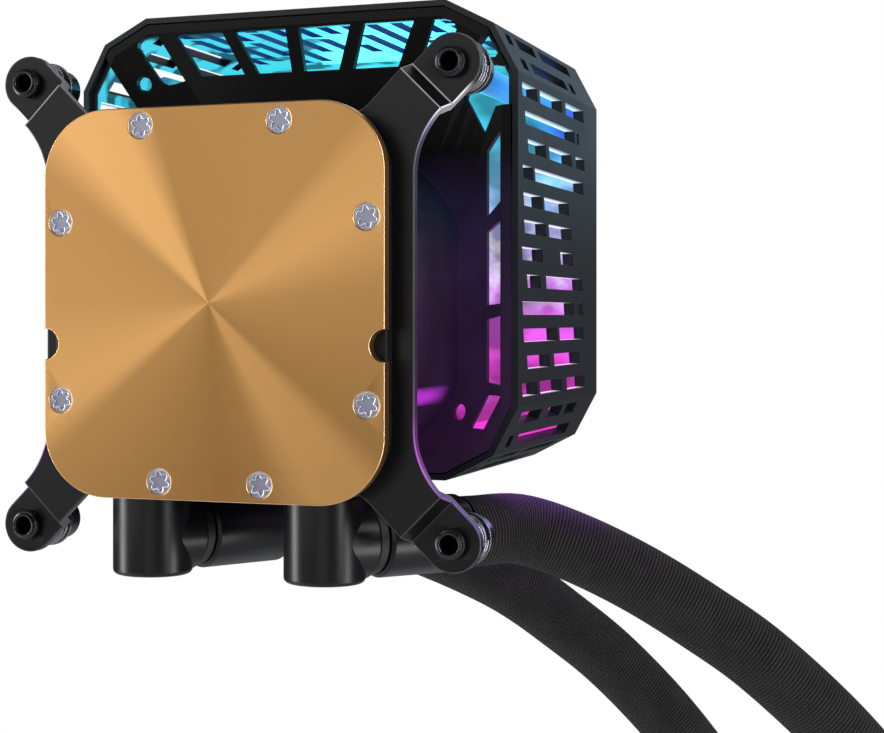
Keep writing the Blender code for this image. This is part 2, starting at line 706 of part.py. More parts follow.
def make_case():
    boss_back = CASE_BACK + CASE_BOSS_LENGTH
    case = prism("pump_casing", [body_outline(0, BODY_HALF)], CASE_FRONT, boss_back)
    below = rounded_box(-2 * CASE_HALF, 2 * CASE_HALF, -2 * CASE_HALF, -BOSS_LOW, FIT)
    cut(case, prism("below_boss", [below], CASE_BACK, boss_back + CASE_BOSS_LENGTH))
    block = rounded_box(-PORT_BLOCK_HALF, PORT_BLOCK_HALF, -CASE_HALF, 0, CASE_CORNER)
    block_front = CASE_FRONT + PORT_BLOCK_STEP
    fuse(case, prism("port_block", [block], block_front, block_front + PORT_BLOCK_LENGTH))
    open_back = boss_back + CASE_BOSS_LENGTH
    bays = [
        (0, open_back),
        (BOARD_BAY_RADIUS, open_back),
        (BOARD_BAY_RADIUS, BOARD_LEDGE),
        (STATOR_BAY_RADIUS, BOARD_LEDGE),
        (STATOR_BAY_RADIUS, STATOR_BAY_FRONT),
        (CAN_RADIUS + FIT, STATOR_BAY_FRONT),
        (CAN_RADIUS + FIT, CAN_SEAT + CAN_SEAT_DEPTH),
        (CAN_RADIUS + CAN_FLANGE + FIT, CAN_SEAT + CAN_SEAT_DEPTH),
        (CAN_RADIUS + CAN_FLANGE + FIT, CAN_SEAT),
        (CHAMBER_RADIUS, CAN_SEAT),
        (CHAMBER_RADIUS, CASE_FRONT - FIT),
        (0, CASE_FRONT - FIT),
    ]
    cut(case, turned("case_bays", bays, at_y(0), ALONG_Y, ROUND_STEPS))
    spigot_top = ELBOW_TOP + SPIGOT_LENGTH + FIT
    duct_top = -math.sqrt(CHAMBER_RADIUS**2 - PORT_X**2) + DUCT_RADIUS
    for side in HEADINGS:
        bore = [
            (0, duct_top),
            (DUCT_RADIUS, duct_top),
            (DUCT_RADIUS, spigot_top),
            (SPIGOT_RADIUS + FIT, spigot_top),
            (SPIGOT_RADIUS + FIT, ELBOW_TOP),
            (0, ELBOW_TOP),
        ]
        cut(case, turned(f"port_{side}", bore, port_of(side), -DOWN, SMALL_STEPS))
    as_part(case, "black_plastic")


def make_rotor():
    """The impeller and the magnet that turn together on the fixed shaft."""
    disc_back = CAN_SEAT - HUB_LENGTH / 2 + FIT
    disc_front = disc_back - IMPELLER_DISC
    hub_back = disc_back + HUB_LENGTH
    bore = SHAFT_RADIUS + FIT
    profile = [
        (HUB_RADIUS, hub_back),
        (HUB_RADIUS, disc_back),
        (IMPELLER_RADIUS, disc_back),
        (IMPELLER_RADIUS, disc_front),
        (HUB_RADIUS, disc_front),
        (HUB_RADIUS, disc_front - BLADE_HEIGHT),
        (bore, disc_front - BLADE_HEIGHT),
        (bore, hub_back),
    ]
    impeller = turned("impeller", profile, at_y(0), ALONG_Y, ROUND_STEPS, closed=True)
    blades = []
    for i in range(BLADES):
        turn = 2 * math.pi * i / BLADES
        front, rear = [], []
        for j in range(ARC_STEPS + 1):
            share = j / ARC_STEPS
            reach = HUB_RADIUS + BLADE_THICK + share * (IMPELLER_RADIUS - HUB_RADIUS - 2 * BLADE_THICK)
            swept = turn + math.radians(BLADE_SWEEP) * share
            half = BLADE_THICK / 2 / reach
            front.append((reach * math.cos(swept - half), reach * math.sin(swept - half)))
            rear.append((reach * math.cos(swept + half), reach * math.sin(swept + half)))
        blades.append(front + rear[::-1])
    fuse(impeller, prism("blades", blades, disc_front - BLADE_HEIGHT, (disc_front + disc_back) / 2))
    as_part(impeller, "black_plastic")
    magnet_front = hub_back + FIT
    magnet = sleeve(
        "rotor_magnet", MAGNET_RADIUS, bore, magnet_front, magnet_front + MAGNET_LENGTH, at_y(0), ALONG_Y
    )
    as_part(magnet, "magnet")


def make_can_and_shaft():
    front = CAN_SEAT + FIT
    back = front + CAN_LENGTH
    inner = CAN_RADIUS - CAN_WALL
    profile = [
        (0, back),
        (CAN_RADIUS, back),
        (CAN_RADIUS, front + CAN_WALL),
        (CAN_RADIUS + CAN_FLANGE, front + CAN_WALL),
        (CAN_RADIUS + CAN_FLANGE, front),
        (inner, front),
        (inner, back - CAN_WALL),
        (0, back - CAN_WALL),
    ]
    as_part(turned("rotor_can", profile, at_y(0), ALONG_Y, ROUND_STEPS), "steel")
    shaft_back = back - CAN_WALL - FIT
    as_part(rod("pump_shaft", SHAFT_RADIUS, CASE_FRONT + FIT, shaft_back, at_y(0), ALONG_Y), "ceramic")


def make_stator():
    outer = STATOR_BAY_RADIUS - FIT
    yoke = outer - STATOR_RING
    tip = CAN_RADIUS + FIT
    middle = STATOR_BAY_FRONT + STATOR_BAY_DEPTH / 2
    half_pole = POLE_WIDTH / 2
    shoulder = math.degrees(math.asin(half_pole / yoke))
    window = []
    for i in range(POLES):
        turn = 360 / POLES * (i + 0.5)
        across = Matrix.Rotation(math.radians(turn), 2)
        window.append(tuple(across @ Vector((tip, -half_pole))))
        window.append(tuple(across @ Vector((tip, half_pole))))
        window += arc_points((0, 0), yoke, turn + shoulder, turn + 360 / POLES - shoulder, ARC_STEPS)
    loops = [ring_points(outer, ROUND_STEPS), window]
    as_part(prism("stator_core", loops, middle - STATOR_THICK / 2, middle + STATOR_THICK / 2), "magnet")
    for i in range(POLES):
        turn = 2 * math.pi / POLES * (i + 0.5)
        hole = [half_pole + FIT, STATOR_THICK / 2 + FIT]
        wide = [hole[0] + COIL_BUILD, hole[1] + COIL_BUILD]
        rings = [rounded_box(-u, u, -w, w, FIT) for u, w in (wide, hole)]
        coil_end = math.sqrt(yoke**2 - wide[0] ** 2) - 2 * FIT
        coil_start = coil_end - COIL_SHARE * (coil_end - tip)
        coil = prism(f"stator_coil_{i + 1}", rings, coil_start, coil_end)
        along = Vector((math.cos(turn), 0, math.sin(turn)))
        across = Vector((-math.sin(turn), 0, math.cos(turn)))
        place = Matrix((across, along, ALONG_Y)).transposed().to_4x4()
        coil.data.transform(Matrix.Translation((0, middle, 0)) @ place)
        as_part(coil, "copper")
    board_front = BOARD_LEDGE + FIT
    board = rod(
        "pump_board", BOARD_BAY_RADIUS - FIT, board_front, board_front + BOARD_THICK, at_y(0), ALONG_Y, ROUND_STEPS
    )
    as_part(board, "circuit")


def cage_outline():
    """The cage's twelve corners about its own middle, anticlockwise from its right side."""
    corner = [(CAGE_HALF, CAGE_FLAT), (CAGE_CORNER, CAGE_CORNER), (CAGE_FLAT, CAGE_HALF)]
    loop = []
    for quarter in range(4):
        spin = Matrix.Rotation(math.pi / 2 * quarter, 2)
        loop += [tuple(spin @ Vector(point)) for point in corner]
    return loop


def raised(loop):
    return [(u, w + CAGE_RISE) for u, w in loop]


def slots_on_face(bm, spin, origin, along_face, outward, first, rows):
    """Cuts rows of slots through one flat face of the cage, with leaning ends."""
    for i, row in enumerate(rows):
        across = first + i * SLOT_PITCH
        for start, end in row:
            middle = CAGE_BACK_RIM + (start + end) / 2 * SLOT_UNIT
            frame = Matrix((outward, ALONG_Y, along_face)).transposed().to_4x4()
            lean = Matrix.Identity(4)
            lean[1][2] = SLOT_LEAN / SLOT_HEIGHT
            place = Matrix.Translation(origin + along_face * across + Vector((0, middle, 0))) @ frame @ lean
            box_into(bm, spin @ place, (3 * CAGE_WALL, (end - start) * SLOT_UNIT, SLOT_HEIGHT))


def cage_slots():
    bm = bmesh.new()
    up = Vector((0, 0, 1))
    wall = Vector((CAGE_HALF, 0, 0))
    edge = Vector((CAGE_HALF, 0, CAGE_FLAT))
    tip = Vector((CAGE_CORNER, 0, CAGE_CORNER))
    along_corner = (tip - edge).normalized()
    out_of_corner = Vector((along_corner.z, 0, -along_corner.x))
    mirror = Matrix.Diagonal((1, 1, -1))
    first = (len(WALL_SLOTS) - 1) / 2 * SLOT_PITCH
    for quarter in range(4):
        spin = Matrix.Translation((0, 0, CAGE_RISE)) @ Matrix.Rotation(-math.pi / 2 * quarter, 4, "Y")
        slots_on_face(bm, spin, wall, -up, Vector((1, 0, 0)), -first, WALL_SLOTS)
        slots_on_face(
            bm, spin, edge, along_corner, out_of_corner, CORNER_SLOT_START, UPPER_CORNER_SLOTS
        )
        slots_on_face(
            bm, spin, mirror @ edge, mirror @ along_corner, mirror @ out_of_corner,
            CORNER_SLOT_START, LOWER_CORNER_SLOTS,
        )
    return object_from(bm, "cage_slots")


def make_cage():
    outline = cage_outline()
    loops = [raised(outline), raised(inset(outline, CAGE_WALL))]
    cage = prism("cage_shell", loops, CAGE_BACK_RIM, CAGE_FRONT)
    seat = [raised(inset(outline, CAGE_LIP))]
    flange_back = CAGE_BACK_RIM + FLANGE_THICK
    cut(cage, prism("flange_seat", seat, CAGE_BACK_RIM - FLANGE_THICK, flange_back + FIT))
    cut(cage, prism("cover_seat", seat, CAGE_FRONT - COVER_THICK - FIT, CAGE_FRONT + COVER_THICK))
    cut(cage, cage_slots())
    as_part(cage, "gunmetal")
    edge = CAGE_LIP + FIT
    cover = prism("front_cover", [raised(inset(outline, edge))], CAGE_FRONT - COVER_THICK, CAGE_FRONT)
    field = raised(inset(outline, edge + COVER_STEP))
    cut(cover, prism("cover_field", [field], CAGE_FRONT - COVER_STEP_DEPTH, CAGE_FRONT + COVER_THICK))
    posts = [(side * u * WINDOW_UNIT, CAGE_RISE + w * WINDOW_UNIT) for side in (-1, 1) for u, w in POSTS]
    rings = [ring_points(POST_RADIUS, SMALL_STEPS, post) for post in posts]
    bores = [ring_points(POST_BORE_RADIUS, SMALL_STEPS, post) for post in posts]
    post_end = DISH_BACK + FIT
    fuse(cover, prism("cover_posts", rings, post_end, CAGE_FRONT - COVER_THICK / 2))
    cut(cover, prism("post_bores", bores, post_end - COVER_THICK, CAGE_FRONT - 2 * COVER_THICK))
    as_part(cover, "gunmetal")


def window_loops():
    unit = WINDOW_UNIT
    loops = []
    for side in (-1, 1):
        for outer_near, outer_far, inner_near, inner_far in TOP_WINDOWS:
            loops.append([
                (side * inner_near * unit, WINDOW_INNER),
                (side * outer_near * unit, WINDOW_OUTER),
                (side * outer_far * unit, WINDOW_OUTER),
                (side * inner_far * unit, WINDOW_INNER),
            ])
        for inner_low, inner_high, outer_low, outer_high in SIDE_WINDOWS:
            loops.append([
                (side * SIDE_WINDOW_INNER, inner_low * unit),
                (side * SIDE_WINDOW_OUTER, outer_low * unit),
                (side * SIDE_WINDOW_OUTER, outer_high * unit),
                (side * SIDE_WINDOW_INNER, inner_high * unit),
            ])
        corner = RIGHT_CORNER if side == 1 else LEFT_CORNER
        for window in [LOWER_WINDOW, ROUND_ENDED_WINDOW] + corner:
            loops.append([(side * u * unit, w * unit) for u, w in window])
        for u, w in POSTS:
            loops.append(ring_points(POST_BORE_RADIUS, SMALL_STEPS, (side * u * unit, w * unit)))
    return [raised(loop) for loop in loops]


def loft(name, rings):
    """A closed body through rings of equal count, capped at the first and the last."""
    bm = bmesh.new()
    made = [[bm.verts.new((u, y, w)) for u, w in loop] for loop, y in rings]
    for near, far in zip(made, made[1:]):
        for i in range(len(near)):
            j = (i + 1) % len(near)
            bm.faces.new((near[i], near[j], far[j], far[i]))
    bm.faces.new(made[0])
    bm.faces.new(made[-1])
    bmesh.ops.triangulate(bm, faces=bm.faces[:])
    return object_from(bm, name)


def stepped_outline(gap):
    """The cage's outline moved inwards, its corners' facets cut into as many steps as an arc."""
    loop = inset(cage_outline(), gap)
    steps = ARC_STEPS // 2
    points = []
    for i in range(0, len(loop), 3):
        for start, end in ((loop[i], loop[i + 1]), (loop[i + 1], loop[i + 2])):
            points += [tuple(Vector(start).lerp(Vector(end), k / steps)) for k in range(steps)]
        points.append(loop[i + 2])
    return raised(points)


def make_flange():
    """The dished plate that closes the cage's rear end around the pump."""
    edge = CAGE_LIP + FIT
    rim = edge + FLANGE_RIM
    front = CAGE_BACK_RIM
    back = front + FLANGE_THICK
    slope = math.atan2(DISH_DEPTH, CAGE_HALF - rim - BODY_HALF - DISH_GAP)
    shift = FLANGE_THICK * math.tan(slope / 2)
    rings = [
        (body_outline(DISH_GAP, BOSS_LOW), front + DISH_DEPTH),
        (stepped_outline(rim), front),
        (stepped_outline(edge), front),
        (stepped_outline(edge), back),
        (stepped_outline(rim - shift), back),
        (body_outline(DISH_GAP + shift, BOSS_LOW), DISH_BACK),
    ]
    flange = loft("back_flange", rings)
    cut(flange, prism("windows", window_loops(), front - DISH_DEPTH, DISH_BACK + DISH_DEPTH))
    as_part(flange, "gunmetal")


def make_lights():
    board_front = DISH_BACK + FIT
    board_back = board_front + LED_BOARD_THICK
    ring = [
        rounded_square(LED_BOARD_HALF, GUIDE_CORNER, CAGE_RISE),
        rounded_square(LED_BOARD_HALF - LED_BOARD_WIDTH, GUIDE_CORNER - GUIDE_WALL, CAGE_RISE),
    ]
    as_part(prism("led_board", ring, board_front, board_back), "circuit")
    half = LED_BOARD_HALF - GUIDE_INSET
    guide = [
        rounded_square(half, GUIDE_CORNER - GUIDE_INSET, CAGE_RISE),
        rounded_square(half - GUIDE_WALL, GUIDE_CORNER - GUIDE_INSET - GUIDE_WALL, CAGE_RISE),
    ]
    as_part(prism("light_guide", guide, board_back + FIT, board_back + FIT + GUIDE_LENGTH), "frosted")


def make_fitting(side):
    """An elbow under the pump, with its seal, its collar and the hose's crimped ferrule."""
    port = port_of(side)
    axis = port + Vector((0, 0, BARREL_Z))
    toward = heading_of(side)
    profile = [
        (0, ELBOW_TOP + SPIGOT_LENGTH),
        (SPIGOT_RADIUS, ELBOW_TOP + SPIGOT_LENGTH),
        (SPIGOT_RADIUS, ELBOW_TOP),
        (ELBOW_RADIUS - ELBOW_EDGE / 2, ELBOW_TOP),
        (ELBOW_RADIUS, ELBOW_TOP - ELBOW_EDGE / 2),
        (ELBOW_RADIUS, ELBOW_BOTTOM + ELBOW_EDGE),
        (ELBOW_RADIUS - 0.3 * ELBOW_EDGE, ELBOW_BOTTOM + 0.3 * ELBOW_EDGE),
        (ELBOW_RADIUS - ELBOW_EDGE, ELBOW_BOTTOM),
        (0, ELBOW_BOTTOM),
    ]
    elbow = turned(f"elbow_{side}", profile, port, -DOWN, ROUND_STEPS)
    nipple_end = FERRULE_END - FERRULE_EDGE
    stub = [
        (0, nipple_end),
        (NIPPLE_RADIUS, nipple_end),
        (NIPPLE_RADIUS, STUB_LENGTH),
        (BARREL_RADIUS, STUB_LENGTH),
        (BARREL_RADIUS, 0),
        (0, 0),
    ]
    fuse(elbow, turned(f"stub_{side}", stub, axis, toward, ROUND_STEPS))
    as_part(elbow, "satin_black")
    seal_radius = SPIGOT_RADIUS + FIT
    seal = sleeve(
        f"port_seal_{side}", seal_radius + SEAL_WIDTH, seal_radius,
        ELBOW_TOP + FIT, -CASE_HALF - FIT, port, -DOWN, steps=SMALL_STEPS,
    )
    as_part(seal, "rubber")
    bore = NIPPLE_RADIUS + FIT
    collar_start = STUB_LENGTH + FIT
    collar = sleeve(
        f"fitting_collar_{side}", COLLAR_RADIUS, bore, collar_start, collar_start + COLLAR_LENGTH, axis, toward
    )
    as_part(collar, "rubber")
    ferrule = sleeve(
        f"hose_ferrule_{side}", BARREL_RADIUS, bore, FERRULE_START, FERRULE_END, axis, toward, FERRULE_EDGE
    )
    as_part(ferrule, "satin_black")


def smooth_points(anchors, spacing):
    """Evenly spaced points on a smooth curve through the anchors."""
    fine = []
    padded = [2 * anchors[0] - anchors[1]] + anchors + [2 * anchors[-1] - anchors[-2]]
    for a, b, c, d in zip(padded, padded[1:], padded[2:], padded[3:]):
        for i in range(ROUND_STEPS):
            t = i / ROUND_STEPS
            bend = 2 * a - 5 * b + 4 * c - d
            fine.append((2 * b + (c - a) * t + bend * t**2 + (3 * b - a - 3 * c + d) * t**3) / 2)
    fine.append(anchors[-1])
    lengths = [0.0]
    for a, b in zip(fine, fine[1:]):
        lengths.append(lengths[-1] + (b - a).length)
    count = max(2, round(lengths[-1] / spacing))
    points, k = [], 0
    for i in range(count + 1):
        wanted = lengths[-1] * i / count
        while k < len(fine) - 2 and lengths[k + 1] < wanted:
            k += 1
        share = (wanted - lengths[k]) / (lengths[k + 1] - lengths[k])
        points.append(fine[k].lerp(fine[k + 1], min(1.0, share)))
    return points


def make_hose(side):
    """A braided hose from its ferrule to the ferrule and union on its free end."""
    toward = heading_of(side)
    middle = port_of(side) + Vector((0, 0, BARREL_Z))
    start = middle + toward * (FERRULE_END + FIT)
    route = [middle + Vector(p) * MM for p in HOSE_ROUTES[side]]
    end = route[-1]
    bend_start = start + toward * HOSE_LEAD
    bend_end = end - DOWN * HOSE_LEAD
    curve = bpy.data.curves.new(f"hose_{side}", "CURVE")
    curve.dimensions = "3D"
    curve.bevel_depth = HOSE_RADIUS
    curve.bevel_resolution = 4
    curve.use_fill_caps = True
    points = [start] + smooth_points([bend_start] + route[:-1] + [bend_end], HOSE_SPACING) + [end]
    spline = curve.splines.new("POLY")
    spline.points.add(len(points) - 1)
    for slot, point in zip(spline.points, points):
        slot.co = (*point, 1)
    as_part(solid_from_curve(f"hose_{side}", curve, Matrix.Identity(4)), "braid")
    bore = NIPPLE_RADIUS + FIT
    ferrule = sleeve(
        f"end_ferrule_{side}", BARREL_RADIUS, bore, FIT, FIT + END_FERRULE_LENGTH, end, DOWN, FERRULE_EDGE
    )
    as_part(ferrule, "satin_black")
    nut_start = 2 * FIT + END_FERRULE_LENGTH
    nut_end = nut_start + NUT_LENGTH
    nose_end = nut_end + NOSE_LENGTH
    profile = [
        (0, nose_end - NOSE_LENGTH),
        (NOSE_BORE, nose_end - NOSE_LENGTH),
        (NOSE_BORE, nose_end),
        (NOSE_RADIUS, nose_end),
        (NOSE_RADIUS, nut_end),
        (NUT_RADIUS - FERRULE_EDGE, nut_end),
        (NUT_RADIUS, nut_end - FERRULE_EDGE),
        (NUT_RADIUS, nut_start + FERRULE_EDGE),
        (NUT_RADIUS - FERRULE_EDGE, nut_start),
        (NIPPLE_RADIUS, nut_start),
        (NIPPLE_RADIUS, 2 * FIT),
        (0, 2 * FIT),
    ]
    union = turned(f"hose_union_{side}", profile, end, DOWN, ROUND_STEPS)
    as_part(union, "satin_black")


def main():
    make_cold_plate()
    make_plate_screws()
    make_base()
    make_bracket()
    ears = [(sx * EAR_OFFSET, sz * EAR_OFFSET) for sz in (1, -1) for sx in (-1, 1)]
    for number, ear in enumerate(ears, 1):
        make_spring_screw(number, ear)
    make_case()
    make_rotor()
    make_can_and_shaft()
    make_stator()
    make_cage()
    make_flange()
    make_lights()
    for side in HEADINGS:
        make_fitting(side)
        make_hose(side)


clear_scene()
PARTS = new_collection("liquid_cooler")
CUTTERS = new_collection("cutters")
main()
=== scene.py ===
"""The look of an all-in-one liquid cooler's pump block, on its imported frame.

Metres, +Z up. The copper cold plate faces -Y, and the origin is at the middle of its face.
"""

import math

import bmesh
import bpy
from mathutils import Matrix, Vector


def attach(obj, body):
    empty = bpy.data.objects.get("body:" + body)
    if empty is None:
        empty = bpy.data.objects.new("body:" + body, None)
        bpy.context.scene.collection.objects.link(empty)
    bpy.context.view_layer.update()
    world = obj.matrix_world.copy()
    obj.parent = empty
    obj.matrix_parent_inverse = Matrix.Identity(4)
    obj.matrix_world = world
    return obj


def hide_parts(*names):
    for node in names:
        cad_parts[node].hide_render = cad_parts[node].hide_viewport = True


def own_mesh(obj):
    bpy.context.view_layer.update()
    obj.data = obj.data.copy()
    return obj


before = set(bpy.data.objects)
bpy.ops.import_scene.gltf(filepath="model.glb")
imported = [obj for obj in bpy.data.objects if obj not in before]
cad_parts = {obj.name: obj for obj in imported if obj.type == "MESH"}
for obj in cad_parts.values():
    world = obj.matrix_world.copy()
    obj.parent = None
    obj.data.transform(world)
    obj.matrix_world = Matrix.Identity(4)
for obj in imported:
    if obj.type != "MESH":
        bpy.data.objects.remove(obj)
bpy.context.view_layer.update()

MM = 0.001
ALONG_Y = Vector((0, 1, 0))
UP = Vector((0, 0, 1))
FIT = 0.3 * MM

# Facets of round pieces
ROUND_STEPS = 72
ARC_STEPS = 16

# Camera: the photograph's, with its focal length and middle in pixels
IMAGE_WIDTH = 884
IMAGE_HEIGHT = 733
FOCAL_PIXELS = 1821
MIDDLE_X = 315
MIDDLE_Y = 317
SENSOR = 36.0
CAMERA_AT = (118.5 * MM, -263.6 * MM, -2.2 * MM)
CAMERA_TURN = 20.85
WORLD_IN_REFLECTIONS = 0.08

# Sizes. Those that the part's source names too are the same there to 0.01 mm, but for SCREW_HEAD_RADIUS
PLATE_HALF_WIDTH = 29.45 * MM
PLATE_HALF_HEIGHT = 31.5 * MM
PLATE_CORNER = 11.0 * MM
PLATE_THICK = 2.4 * MM
NOTCH_RADIUS = 2.5 * MM
NOTCH_Z = -6.6 * MM
PLATE_ROUNDING = 0.22 * MM
PLATE_SCREWS = [
    (side * x * MM, z * MM)
    for x, z in ((12.0, 28.6), (26.5, 13.2), (26.5, -15.75), (8.7, -28.6))
    for side in (-1, 1)
]
SCREW_HEAD_RADIUS = 2.05 * MM  # 0.1 mm under the solid's, for the ring of copper round it
SCREW_HEAD_FRONT = 0.2 * MM
SCREW_HEAD_BACK = 1.2 * MM
SCREW_ROUNDING = 0.1 * MM
SCREW_HOLE_RADIUS = SCREW_HEAD_RADIUS + 0.05 * MM
SCREW_BED_RADIUS = 1.85 * MM
SCREW_BED_FRONT = 0.5 * MM
SCREW_BED_BACK = 1.15 * MM
SCREW_BED_STEPS = 48
SCREW_SHANK_RADIUS = 0.95 * MM
SCREW_TIP = 4.8 * MM
SCREW_SEAT_FRONT = 1.5 * MM
SCREW_SEAT_BACK = PLATE_THICK - 0.1 * MM
SCREW_SEAT_HOLE_RADIUS = 1.25 * MM
SCREW_SEAT_ROUNDING = 0.05 * MM
STAR_OUTER = 1.68 * MM
STAR_INNER = 1.02 * MM
STAR_LOBES = 6
STAR_STEPS = 96
STAR_TURN = 0.72
RIM_HALF_WIDTH = 28.9 * MM
RIM_HALF_HEIGHT = 30.6 * MM
RIM_CORNER = 10.45 * MM
RIM_FRONT = 2.7 * MM
RIM_BACK = 5.7 * MM
RIM_ROUNDING = 0.3 * MM
BRACKET_FRONT = 6.0 * MM
BRACKET_BACK = 7.8 * MM
BRACKET_HALF_WIDTH = 32.3 * MM
BRACKET_HALF_HEIGHT = 29.7 * MM
BRACKET_ROUNDING = 0.22 * MM
BRACKET_EDGE_MARGIN = 1.0 * MM
EAR_OFFSET = 37.5 * MM
EAR_RADIUS = 4.7 * MM
EAR_HOLE_RADIUS = 2.2 * MM
EAR_STEP = 3.0 * MM
STEP_START = 47.2 * MM
STEP_RUN = 1.4 * MM
FOLD_LINE = 0.18 * MM
CORE_HALF = 26.5 * MM
CORE_CORNER = 8.0 * MM
CASE_HALF = 29.8 * MM
CASE_CORNER = 10.0 * MM
CASE_FRONT = 8.1 * MM
CASE_BACK = 35.3 * MM
CASE_ROUNDING = 0.3 * MM
NECK_OVERLAP = 1.0 * MM
NECK_ROUNDING = 0.2 * MM
BOSS_BACK = 44.7 * MM
BODY_HALF = 0.94 * CASE_HALF
BODY_RADIUS = 1.057 * CASE_HALF
BOSS_LOW = 0.805 * CASE_HALF
BOARD_BAY_RADIUS = 0.893 * CASE_HALF
BAY_LOW = math.degrees(math.asin(BOSS_LOW / BOARD_BAY_RADIUS))  # where the round bay opens below
PORT_BLOCK_HALF = BODY_HALF - 1.0 * MM
PORT_BLOCK_FRONT = 8.6 * MM
PORT_BLOCK_BACK = 20.1 * MM
PORT_BLOCK_ROUNDING = 0.5 * MM
CAGE_RISE = 11.0 * MM
CAGE_HALF = 41.2 * MM
CAGE_CHAMFER_DISTANCE = 49.68 * MM
CAGE_WALL = 2.0 * MM
CAGE_SEAT_BACK = 37.1 * MM
COVER_INSIDE = 96.7 * MM
PORT_X = 15.35 * MM
PORT_Y = 11.6 * MM
ELBOW_RADIUS = 6.65 * MM
ELBOW_TOP = -30.9 * MM
ELBOW_BOTTOM = -45.0 * MM
ELBOW_TOP_CHAMFER = 0.4 * MM
ELBOW_FOOT_ROUNDING = 0.9 * MM
SPIGOT_RADIUS = 2.8 * MM
SPIGOT_HEIGHT = 6.3 * MM
BARREL_Z = -38.4 * MM
BARREL_RADIUS = 6.5 * MM
STUB_LENGTH = 6.9 * MM
STUB_ROUNDING = 0.3 * MM
BARB_RADIUS = 3.0 * MM
COLLAR_RADIUS = 5.9 * MM
COLLAR_LENGTH = 1.6 * MM
COLLAR_ROUNDING = 0.2 * MM
FERRULE_START = STUB_LENGTH + COLLAR_LENGTH + 2 * FIT
FERRULE_END = FERRULE_START + 16.7 * MM
FERRULE_BORE_RADIUS = 3.3 * MM
FERRULE_EDGE = 1.0 * MM
FERRULE_ROUNDING = 0.1 * MM
BARB_END = FERRULE_END - 1.0 * MM
FITTING_STEPS = 96
HEADINGS = {"left": 31.0, "right": 40.0}
HOSE_RADIUS = 6.0 * MM
HOSE_LEAD = 3.0 * MM
HOSE_SIDES = 96
HOSE_RING_SPACING = 1.5 * MM
# Each hose's middle line from its elbow's middle, in millimetres
HOSE_ROUTES = {
    "right": [
        (24.7, 29.4, -0.2), (33.2, 33.4, -3.3), (43.5, 37.4, -8.7),
        (53.8, 40.9, -15.4), (63.8, 44.2, -22.9), (75.8, 49.0, -34.9),
        (84.4, 52.4, -46.2), (91.6, 55.2, -59.0), (96.9, 57.3, -73.0),
        (100.8, 58.9, -94.0), (102.0, 59.4, -121.6), (100.9, 59.0, -156.6),
        (98.7, 58.4, -191.6), (97.7, 58.0, -223.6), (97.7, 58.0, -247.6),
    ],
    "left": [
        (20.9, 33.4, -0.8), (29.4, 44.9, -4.0), (43.8, 61.4, -13.6),
        (54.7, 73.4, -24.2), (62.4, 79.6, -32.3), (71.3, 85.0, -43.2),
        (79.1, 89.1, -54.9), (85.3, 92.3, -68.0), (89.6, 94.6, -82.6),
        (92.4, 96.0, -104.0), (92.9, 96.3, -131.6), (91.6, 95.8, -166.6),
        (89.6, 95.1, -199.6), (89.1, 94.8, -217.6), (89.1, 94.8, -235.6),
    ],
}

# Spring screws
SHANK_RADIUS = 1.85 * MM
TUBE_RADIUS = 2.4 * MM
TUBE_FRONT = 6.9 * MM
TUBE_BACK = 8.7 * MM
TUBE_BORE_RADIUS = 1.45 * MM
TUBE_BORE_END = 18.9 * MM
TUBE_CHAMFER = 0.25 * MM
TUBE_LIP_RADIUS = TUBE_RADIUS - 0.45 * MM
TUBE_LIP_END = TUBE_FRONT + 0.55 * MM
TUBE_SHOULDER = TUBE_FRONT + 0.75 * MM
TUBE_ROUNDING = 0.12 * MM
SPRING_FRONT = 11.1 * MM
SPRING_BACK = 15.7 * MM
SPRING_RADIUS = 3.9 * MM
SPRING_WIRE = 0.38 * MM
SPRING_TURNS = 3
SPRING_STEPS = 40
WASHER_FRONT = 16.0 * MM
WASHER_BACK = 16.7 * MM
WASHER_RADIUS = 4.4 * MM
WASHER_ROUNDING = 0.15 * MM
KNOB_FRONT = 17.0 * MM
KNOB_BACK = 21.3 * MM
KNOB_RADIUS = 3.6 * MM
KNOB_ROUNDING = 0.1 * MM
KNOB_CORE_RADIUS = KNOB_RADIUS - 0.5 * MM
KNOB_BORE_RADIUS = 1.0 * MM
KNOB_COLLAR_BACK = KNOB_BACK - 0.01 * MM

# Looks
FINE_GRAIN = 5000.0
GRAIN_DEPTH = 0.02 * MM
EDGE_ANGLE = 35
FLATTEST = 0.97
GUNMETAL = (0.012, 0.0145, 0.018)
# The copper's colour in painted shade and in its painted highlight
COPPER_IN_SHADE = (0.218, 0.114, 0.036)
COPPER_IN_HIGHLIGHT = (0.53, 0.288, 0.101)
# Painted highlights on the turned copper: their level by the turn about its middle, in degrees from -X
# through -Z, +X and +Z
COPPER_PAINTED_HIGHLIGHTS = [
    (0, 0.5), (28, 0.84), (35, 0.8), (42, 0.3), (95, 0.04), (110, 0.14),
    (121, 0.6), (134, 0.56), (141, 0.14), (185, 0.36), (208, 0.8), (222, 0.68),
    (229, 0.36), (288, 0.24), (298, 0.95), (312, 1.0), (323, 0.38), (360, 0.5),
]
WEAVE_ROW = 0.6 * MM
WEAVE_RIBS = 84.0
